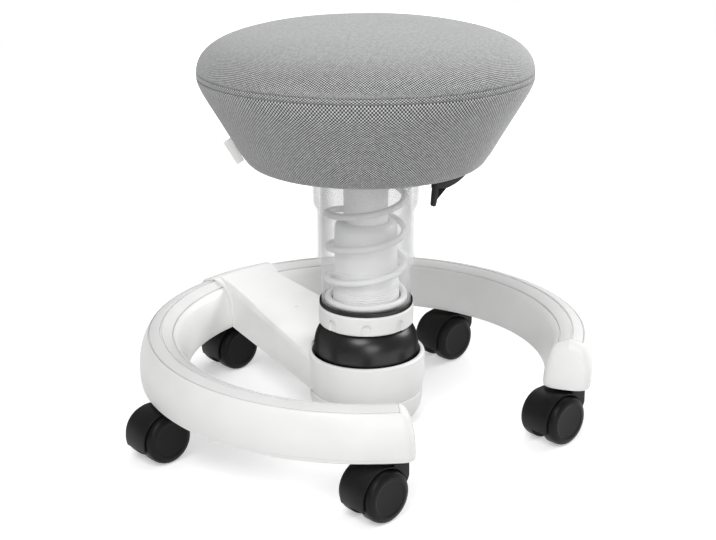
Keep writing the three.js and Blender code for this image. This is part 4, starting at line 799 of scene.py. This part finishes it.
def ball_profile(inset, low, high, steps):
    """Points of the ball's profile: a sphere up to its middle, and a fuller shoulder above it."""
    points = []
    for i in range(steps + 1):
        z = low + (high - low) * i / steps
        if z < BALL_Z:
            reach = math.sqrt(BALL_R**2 - (z - BALL_Z) ** 2)
        else:
            share = (z - SHOULDER_Z) / SHOULDER_RISE
            reach = BALL_R * (1 - share**SHOULDER_FULL) ** (1 / SHOULDER_FULL)
        points.append((reach - inset, z))
    return points


def ball_sleeve():
    """The rubber ball, open below, with a hole for the guide tube in its top."""
    return turned([
        *ball_profile(0, BALL_FOOT, BALL_TOP, 26), (42.2, 105.1, 0.4), (33.8, 105.1),
        (33.8, BALL_ROOF), *reversed(ball_profile(BALL_WALL, BALL_FOOT, BALL_ROOF, 12)),
    ])


def adjuster_ring():
    """The ring that is turned to set the spring, with arched finger notches round its side."""
    bm = turned([
        (34.0, 105.4), (47.0, 105.4, 0.8), (47.9, 107.0, 1), (47.9, 123.4, 1), (46.8, 125.1, 0.8),
        (34.0, 125.1),
    ], steps=160)
    bmesh.ops.recalc_face_normals(bm, faces=bm.faces[:])
    arches = bmesh.new()
    bow = [(across, ARCH_SPRING + up) for across, up in arc(ARCH_HALF, 0, 180, 12)]
    arch = [(ARCH_HALF, ARCH_FOOT), *bow, (-ARCH_HALF, ARCH_FOOT)]
    for k in range(ARCHES):
        notch = slab(arches, arch, ARCH_FLOOR, ARCH_OUT)
        turn(arches, notch, ARCH_START + 360 / ARCHES * k)
    return carved(bm, arches)


piece("ball_sleeve_skin", ball_sleeve(), "strut", "black_rubber", ["ball_sleeve"], sharp=40)
piece("adjuster_grip", adjuster_ring(), "adjuster", "white_plastic", ["adjuster_ring"])
piece(
    "spring_dish",
    turned([
        (34.0, 125.4), (46.6, 125.4, 0.4), (47.2, 126.2), (47.2, 129.8, 0.5), (45.8, 129.8, 0.5),
        (45.6, 127.2, 0.4), (34.0, 127.0),
    ]),
    "preload", "black_rubber", ["spring_seat"],
)


# Guide tube, gas lift and spring

THREAD_TURNS, THREAD_FOOT, THREAD_PITCH = 7, 129.0, 2.4
COIL_FOOT, COIL_TOP = 127.3, 278.7
COIL_R, WIRE_R = 38.4, 3.4
COIL_START = 32.4
COIL_RUNS = ((0.75, 1.125), (4.138, 142.35), (0.75, 1.125))  # turns, and the rise over them


def guide_tube():
    """The tube that stands up out of the ball, with a flange below and the adjuster's thread."""
    rings = []
    for k in range(THREAD_TURNS):
        low = THREAD_FOOT + THREAD_PITCH * k
        rings += [(33.4, low), (32.5, low + 0.5), (32.5, low + 1.0), (33.4, low + 1.5)]
    return turned([
        (27.5, 99.3), (40, 99.3), (40, 101.9, 0.5), (33.4, 101.9), *rings, (33.4, 149, 2.2),
        (31.6, 152, 1.5), (31.6, 211.6, 7.5), (24.4, 212.4, 1.0), (23.0, 212.0, 0.4), (23.0, 208),
        (27.5, 208),
    ])


def coil_spring():
    """One wire wound right-handed round the column, lying nearly flat at both ends."""
    bm = bmesh.new()
    ring = bmesh.ops.create_circle(bm, cap_ends=False, segments=20, radius=WIRE_R * MM)["verts"]
    turn(bm, ring, 90, "X")
    bmesh.ops.translate(bm, vec=(COIL_R * MM, 0, (COIL_FOOT + WIRE_R) * MM), verts=ring)
    turn(bm, ring, COIL_START)
    geom = ring + list({e for v in ring for e in v.link_edges})
    for turns, rise in COIL_RUNS:
        geom = spin(bm, geom, 360 * turns, steps=round(72 * turns), rise=rise)
    rims = [e for e in bm.edges if e.is_boundary]
    bmesh.ops.holes_fill(bm, edges=rims, sides=0)
    return bm


piece("guide_tube_skin", guide_tube(), "strut", "grey_plastic", ["guide_tube"])
coil = piece(
    "coil_spring_wire", coil_spring(), "preload", "spring_steel", ["coil_spring"], sharp=60
)
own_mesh(coil)
# The lift tube wears the lighter copy of the tube plastic, painted light against the seat's shade.
piece(
    "lift_tube_skin",
    turned([
        (4.5, 140), (22.3, 140, 0.5), (22.3, 282.7), (14.5, 282.7), (14.5, 220), (19.8, 219),
        (19.8, 144), (4.5, 144),
    ]),
    "lift", "grey_plastic", ["lift_tube"], FINISHES["lift_painted_light"],
)
piece(
    "spring_plate_disc",
    turned([
        (22.6, 271), (26.5, 271, 0.6), (26.5, 279, 1.5), (42, 279, 0.6), (42, 282.4, 0.6),
        (22.6, 282.4),
    ]),
    "lift", "steel", ["spring_plate"],
)


# Clear covers

piece(
    "lower_cover_tube",
    turned([(43.6, 127.3), (45.2, 127.3, 0.3), (45.2, 262, 0.5), (43.6, 262, 0.5)]),
    "preload", "clear_plastic", ["lower_cover"],
)
piece(
    "upper_cover_tube",
    turned([
        (47.6, 170, 0.4), (49.2, 170, 0.6), (49.2, 222.5, 2), (53.5, 231.5, 2), (53.5, 299.7, 1.2),
        (62, 299.7, 0.6), (62, 302.7), (51.9, 302.7), (51.9, 232.5, 2), (47.6, 223.5, 2),
    ]),
    "seat", "clear_plastic", ["upper_cover"],
)


# Seat

SEAM_Z, SEAM_HALF = 361.6, 2.7
SEAM_LIFT, SEAM_SPREAD = 6.8, 10.0
SEAM_HIGH = math.radians(228)  # where the sewn cover sits highest on its foam
WIDEST, WIDEST_Z = 162.45, 359.5
CROWN_RISE, CROWN_FULL = 45.8, 2.62
CROWN_STEPS, CROWN_END = 26, 86.5
HEM_R, HEM_Z, CONE_SLOPE = 117.1, 276, 0.573
PAD_WALL, PAN_OUT, PAN_IN = 3.4, 3.7, 6.7  # how far in from the seat's side
STILL_BELOW, LINING_BELOW, LINING_IN, EDGE_BAND = 279, 353, 1.5, 8
CLOTH_TURN = math.radians(42)  # how far the cover's threads are turned on the crown
SIDE_R, SIDE_STRETCH = 0.1385, 1.155  # what lays the weave out round and up the cone, in metres
SWELL, SWELL_SPAN, SWELL_TALL = 0.5, 0.16 / 3, 45
PUCKER, PUCKERS, PUCKER_SPREAD = 0.18, 66, 7
TAG_FOOT, TAG_TALL, TAG_OUT, TAG_THICK = 281, 23, 7.2, 0.7
TAG_OFF, TAG_TURN = 0.2, 151.4
TAG_SWAY, TAG_CURL, TAG_CURL_START = 1.1, 2.2, 0.4
TAG_CLOTH = (0.0085, 0.027)  # the size of its weave's sheet, in metres


def cone(z):
    """The radius of the seat's side at a height."""
    return HEM_R + (z - HEM_Z) * CONE_SLOPE


def crown(share):
    """A point of the crown's profile, from the widest line at 1 to the middle at 0."""
    return WIDEST * share, WIDEST_Z + CROWN_RISE * (1 - share**CROWN_FULL) ** (1 / 3)


def seat_cushion():
    """The foam pad in its sewn cover: crown, piped seam, and the cone drawn in to the hem."""
    bm = bmesh.new()
    profile = [
        (0, 333.8), (141.6, 333.8), (152.4, 350), (154.3, 350), (cone(300) - PAD_WALL, 300),
        (cone(281) - PAD_WALL, 281), (111.9, 277.0), (112.4, 276.1), (113.8, 276.0),
        (115.1, 276.6), (117.7, 278.9), (121.1, 284), (cone(288), 288),
    ]
    profile += [(cone(z), z) for z in range(294, 349, 6)]
    profile += [(159.6, 350.6), (161.2, 354.0), (162.1, 356.6)]
    for groove, deep in ((SEAM_Z - SEAM_HALF, 1.7), (SEAM_Z + SEAM_HALF, 1.2)):
        profile += [
            (WIDEST - share * deep, groove + up)
            for share, up in ((0.06, -0.9), (0.4, -0.5), (1, 0), (0.4, 0.5), (0.06, 0.9))
        ]
    for k in range(CROWN_STEPS + 1):
        profile.append(crown(math.sin(math.radians(CROWN_END * (1 - k / CROWN_STEPS)))))
    spin(bm, outline(bm, profile, closed=False), steps=192)
    bmesh.ops.remove_doubles(bm, verts=bm.verts[:], dist=MERGE_REACH)
    bmesh.ops.recalc_face_normals(bm, faces=bm.faces[:])
    bm.normal_update()
    lay_cloth(bm)
    for v in bm.verts:
        angle, up = math.atan2(v.co.y, v.co.x), v.co.z / MM
        reach = math.hypot(v.co.x, v.co.y) / MM
        if reach > WIDEST - EDGE_BAND:
            pull = math.exp(-(((up - SEAM_Z) / SEAM_SPREAD) ** 2))
            v.co.z += SEAM_LIFT * math.cos(angle - SEAM_HIGH) * pull * MM
        if up < STILL_BELOW or (up < LINING_BELOW and reach < cone(up) - LINING_IN):
            continue
        spot = Vector((v.co.x / SWELL_SPAN, v.co.y / SWELL_SPAN, up / SWELL_TALL))
        pucker = math.sin(PUCKERS * angle) * math.exp(-(((up - SEAM_Z) / PUCKER_SPREAD) ** 2))
        v.co += v.normal * (SWELL * noise.noise(spot) + PUCKER * pucker) * MM
    return bm


def crown_length(reach):
    """The length of cloth from the middle of the crown out to a place on it, both in metres."""
    steps = [crown(reach / MM / WIDEST * k / CROWN_STEPS) for k in range(CROWN_STEPS + 1)]
    return sum(math.dist(a, b) for a, b in zip(steps, steps[1:])) * MM


def lay_cloth(bm):
    """Lays the weave out in metres: flat over the crown, and round the cone's side."""
    sheet = bm.loops.layers.uv.new("cloth")
    grain = Matrix.Rotation(CLOTH_TURN, 2)
    lengths = {}
    for face in bm.faces:
        centre = face.calc_center_median()
        for loop in face.loops:
            x, y, z = loop.vert.co
            if centre.z > (SEAM_Z + SEAM_HALF) * MM:
                reach = round(min(math.hypot(x, y), WIDEST * MM), 5)
                if reach not in lengths:
                    lengths[reach] = crown_length(reach)
                stretch = lengths[reach] / max(reach, MM)
                loop[sheet].uv = grain @ Vector((x * stretch, y * stretch))
                continue
            angle = math.atan2(y, x)
            if angle < 0 and centre.x < 0 and centre.y > 0:
                angle += 2 * math.pi
            if angle > 3 and centre.y < 0:
                angle -= 2 * math.pi
            loop[sheet].uv = (angle * SIDE_R, z * SIDE_STRETCH)


def seat_tag():
    """A folded tape sewn into the side, standing out and hanging a little."""
    bm = bmesh.new()
    bmesh.ops.create_grid(bm, x_segments=10, y_segments=16, size=0.5)
    sheet = bm.loops.layers.uv.new("cloth")
    for v in bm.verts:
        out, along = v.co.x + 0.5, v.co.y + 0.5
        up = TAG_FOOT + TAG_TALL * along
        radius = cone(up) + TAG_OFF + TAG_OUT * out
        sway = TAG_SWAY * out**2 * math.sin(TAG_CURL * along + TAG_CURL_START)
        v.co = (radius * MM, sway * MM, (up - CONE_SLOPE * TAG_OUT * out) * MM)
        for loop in v.link_loops:
            loop[sheet].uv = (out * TAG_CLOTH[0], along * TAG_CLOTH[1])
    bmesh.ops.recalc_face_normals(bm, faces=bm.faces[:])
    bmesh.ops.solidify(bm, geom=bm.faces[:], thickness=TAG_THICK * MM)
    turn(bm, bm.verts[:], TAG_TURN)
    return bm


cushion = piece(
    "seat_cushion_cover", seat_cushion(), "seat", "seat_fabric", ["seat_cushion"], sharp=75
)
piece("seat_tag_tape", seat_tag(), "seat", "tag_fabric", ["seat_tag"], sharp=60)
piece(
    "seat_pan_bowl",
    turned([
        (0, 330), (cone(330) - PAN_IN, 330, 2), (cone(281) - PAN_IN, 281, 0.5),
        (cone(281) - PAN_OUT, 281), (cone(352) - PAN_OUT, 352), (cone(352) - PAN_IN, 352),
        (cone(334) - PAN_IN, 333.5), (0, 333.5),
    ], closed=False),
    "seat", "black_plastic", ["seat_pan"],
)


# Release lever

LEVER_TURN = -87.0


def release_lever():
    """The lever under the seat: a cranked arm with a webbed finger paddle at its end."""
    bm = bmesh.new()
    arm = [
        (-5, 321.4), (19, 321.4, 1.5), (25, 315.5, 2), (30, 310.5, 3), (70, 311, 6), (97, 276, 3),
        (104.5, 275.5), (104.5, 280), (101, 280.5, 3), (75, 316, 6), (30, 321.6, 4), (-5, 326.3),
    ]
    slab(bm, arm, -7, 7, bevel=1.0)
    belly = [
        (-15.6, 280.5), (-16.4, 268.6), (-11, 267.6, 1), (0, 265.6, 3), (9, 266.6, 4),
        (19, 269.2, 4), (30, 274.5, 1.5), (30, 280.5),
    ]
    turn(bm, slab(bm, belly, -106.6, -101.5, bevel=1.0, segments=3), 90)
    fin = [
        (-15.6, 280.5), (-18.6, 253.2, 1.6), (-17.2, 251.6, 1.4), (-14.6, 251.8, 1.2),
        (-11.8, 260, 2), (-10, 280.5),
    ]
    turn(bm, slab(bm, fin, -106.8, -103.2, bevel=0.9, segments=3), 90)
    web = [
        (-13.6, -106, 256.4), (3.2, -106, 267.6), (3.2, -99.5, 279), (-13.6, -98.5, 279),
        (-13.6, -103.4, 258), (3.2, -103.4, 268.4), (3.2, -98.5, 279),
    ]
    corners = [bm.verts.new((x * MM, y * MM, z * MM)) for x, y, z in web]
    bmesh.ops.convex_hull(bm, input=corners)
    turn(bm, corners, 90)
    shelf = [(-15, 276), (-15, 280.5), (28, 280.5), (28, 276.5)]
    turn(bm, slab(bm, shelf, -105, -96, bevel=0.6), 90)
    turn(bm, bm.verts[:], LEVER_TURN)
    return bm


piece("release_lever_paddle", release_lever(), "lever", "black_plastic", ["release_lever"])


# Castors

TRAIL, WHEEL_R = 20.5, 25
AXLE_PLACE = Vector((-TRAIL * MM, 0, WHEEL_R * MM))
HOOD_R, HOOD_HALF, HOOD_WALL = 25.9, 15.5, 1.3
WEB_HALF = 6.9
AXLE_R, AXLE_HALF = 5.0, 8.6


def lay_on_side(bm):
    """Turns a shape made round Z so that its axis runs along Y through the wheel's middle."""
    turn(bm, bm.verts[:], -90, "X")
    bmesh.ops.translate(bm, vec=AXLE_PLACE, verts=bm.verts[:])


def castor_wheel(side):
    """One of the twin wheels, with a shallow dish towards its twin and a bore for the axle."""
    bm = turned([
        (0, 22.1), (16.6, 22.1, 0.3), (17.2, 22.5, 0.3), (19.6, 22.5, 0.6), (23.4, 21.1, 1.0),
        (24.7, 18.4, 1.4), (25, 15.2, 1), (25, 7.6, 0.8), (21, 7.6), (20, 9), (6, 9), (5, 7.6),
        (3.3, 7.6), (3.3, 19.8), (0, 19.8),
    ], closed=False, steps=72)
    if side < 0:
        turn(bm, bm.verts[:], 180, "X")
    lay_on_side(bm)
    return bm


def castor_hood():
    """The hood over the wheels, the tower for the stem, and the web that holds the axle."""
    bm = bmesh.new()
    over = [
        (HOOD_R, -HOOD_HALF), (HOOD_R + HOOD_WALL, -HOOD_HALF, 0.5),
        (HOOD_R + HOOD_WALL, HOOD_HALF, 0.5), (HOOD_R, HOOD_HALF),
    ]
    sweep(bm, over, -200, 140, 40)
    lay_on_side(bm)
    tower = [
        *arc(HOOD_R, 6, 66, 12), (10.9, 24.8), (11.2, 26.8, 1.2), (12.6, 29.5, 0.8),
        (30, 29.5, 2), (30, 10.5, 2),
    ]
    web = [
        *arc(HOOD_R + 0.3, 200, 68, 18), (13, 29), (29, 29), (29.4, 10.8), (8, -8, 4), (-8, -8, 4),
    ]
    made = slab(bm, tower, -HOOD_HALF, HOOD_HALF, bevel=0.7, segments=3)
    made += slab(bm, web, -WEB_HALF, WEB_HALF, bevel=0.4)
    bmesh.ops.translate(bm, vec=AXLE_PLACE, verts=made)
    rod(bm, AXLE_R, (-TRAIL, -AXLE_HALF, WHEEL_R), (-TRAIL, AXLE_HALF, WHEEL_R))
    return bm


for k, name in enumerate(CASTORS):
    angle = castor_angle(k)
    spot = COLUMN + RING_R * MM * Vector((math.cos(angle), math.sin(angle), 0))
    piece(
        f"castor_hood_{name}", castor_hood(), f"castor_{name}", "black_plastic",
        [f"castor_housing_{name}"], at=spot,
    )
    for letter, side in (("a", -1), ("b", 1)):
        piece(
            f"castor_disc_{name}_{letter}", castor_wheel(side), f"wheel_{name}_{letter}",
            "wheel_plastic", [f"castor_wheel_{name}_{letter}"], at=spot,
        )


# Floor, light and camera

FLOOR_REACH, FLOOR_ROUGH = 2.0, 0.9
FLOOR_BOUNCE, FLOOR_SHOWN = 0.55, 0.9
NEAR_LIFT, FAR_LIFT = 0.36, 0.72
LIFT_NEAR, LIFT_FAR = 0.5, 1.3  # metres from the middle of the floor
SKY_LIGHT, SKY_SHOWN = 0.41, 1.0
LAMP_AIM = Vector((0, 0, 0.2))
LAMPS = (  # name, place, width and watts
    ("key", (-1.6, -0.9, 2.3), 1.4, 34),
    ("front", (-1.1, -2.0, 0.9), 1.2, 14.5),
    ("side", (2.2, -0.4, 1.4), 1.4, 35),
    ("back", (1.2, 1.6, 1.9), 1.2, 9),
)
VIEW_AZIMUTH, VIEW_DISTANCE, VIEW_HEIGHT = -42.0302, 1.4756, 0.6700
VIEW_PITCH, VIEW_YAW, VIEW_ROLL = 19.0938, 0.3130, -0.2021
LENS, SENSOR_WIDTH, NEAREST_SEEN = 78.166, 36, 0.01


def floor_paint():
    """Pale paint that the camera and reflections see nearly white, and that throws back less."""
    finish, tree, shader, place = start_material("pale_floor", FLOOR_ROUGH)
    seen = seen_by(tree, "Is Camera Ray", "Is Glossy Ray", "Is Transmission Ray")
    colour = mix_colour(tree, seen, (FLOOR_BOUNCE,) * 3, (FLOOR_SHOWN,) * 3)
    tree.links.new(colour, shader.inputs["Base Color"])
    away = tree.nodes.new("ShaderNodeVectorMath")
    away.operation = "LENGTH"
    tree.links.new(place.outputs["Object"], away.inputs[0])
    lift = map_range(tree, away.outputs["Value"], LIFT_NEAR, LIFT_FAR, NEAR_LIFT, FAR_LIFT)
    tree.links.new(math_node(tree, "MULTIPLY", lift, seen), shader.inputs["Emission Color"])
    shader.inputs["Emission Strength"].default_value = 1
    return finish


flat = bmesh.new()
bmesh.ops.create_grid(flat, x_segments=1, y_segments=1, size=FLOOR_REACH)
floor = bpy.data.objects.new("floor", mesh_from("floor", flat))
bpy.context.scene.collection.objects.link(floor)
floor.data.materials.append(floor_paint())

world = bpy.data.worlds.new("studio")
bpy.context.scene.world = world
world.use_nodes = True
sky = world.node_tree
background = sky.nodes["Background"]
background.inputs["Color"].default_value = (1, 1, 1, 1)
seen = seen_by(sky, "Is Camera Ray", "Is Transmission Ray")
strength = map_range(sky, seen, 0.0, 1.0, SKY_LIGHT, SKY_SHOWN)
sky.links.new(strength, background.inputs["Strength"])

for name, place, width, watts in LAMPS:
    light = bpy.data.lights.new(name, "AREA")
    light.shape = "DISK"
    light.size = width
    light.energy = watts
    lamp = bpy.data.objects.new(name, light)
    lamp.location = place
    lamp.rotation_euler = (LAMP_AIM - Vector(place)).to_track_quat("-Z", "Y").to_euler()
    bpy.context.scene.collection.objects.link(lamp)

around = math.radians(VIEW_AZIMUTH)
heading = around + math.radians(VIEW_YAW)
pitch, roll = math.radians(VIEW_PITCH), math.radians(VIEW_ROLL)
forward = Vector((
    -math.sin(heading) * math.cos(pitch), math.cos(heading) * math.cos(pitch), -math.sin(pitch)
))
right = Vector((math.cos(heading), math.sin(heading), 0))
up = right.cross(forward)
right, up = (
    math.cos(roll) * right + math.sin(roll) * up,
    -math.sin(roll) * right + math.cos(roll) * up,
)
camera = bpy.data.objects.new("camera", bpy.data.cameras.new("camera"))
bpy.context.scene.collection.objects.link(camera)
camera.data.lens = LENS
camera.data.sensor_width = SENSOR_WIDTH
camera.data.clip_start = NEAREST_SEEN
turned_view = Matrix((right, up, -forward)).transposed().to_4x4()
eye = COLUMN + Vector(
    (VIEW_DISTANCE * math.sin(around), -VIEW_DISTANCE * math.cos(around), VIEW_HEIGHT)
)
camera.matrix_world = Matrix.Translation(eye) @ turned_view
bpy.context.scene.camera = camera
bpy.context.scene.view_settings.view_transform = "Standard"
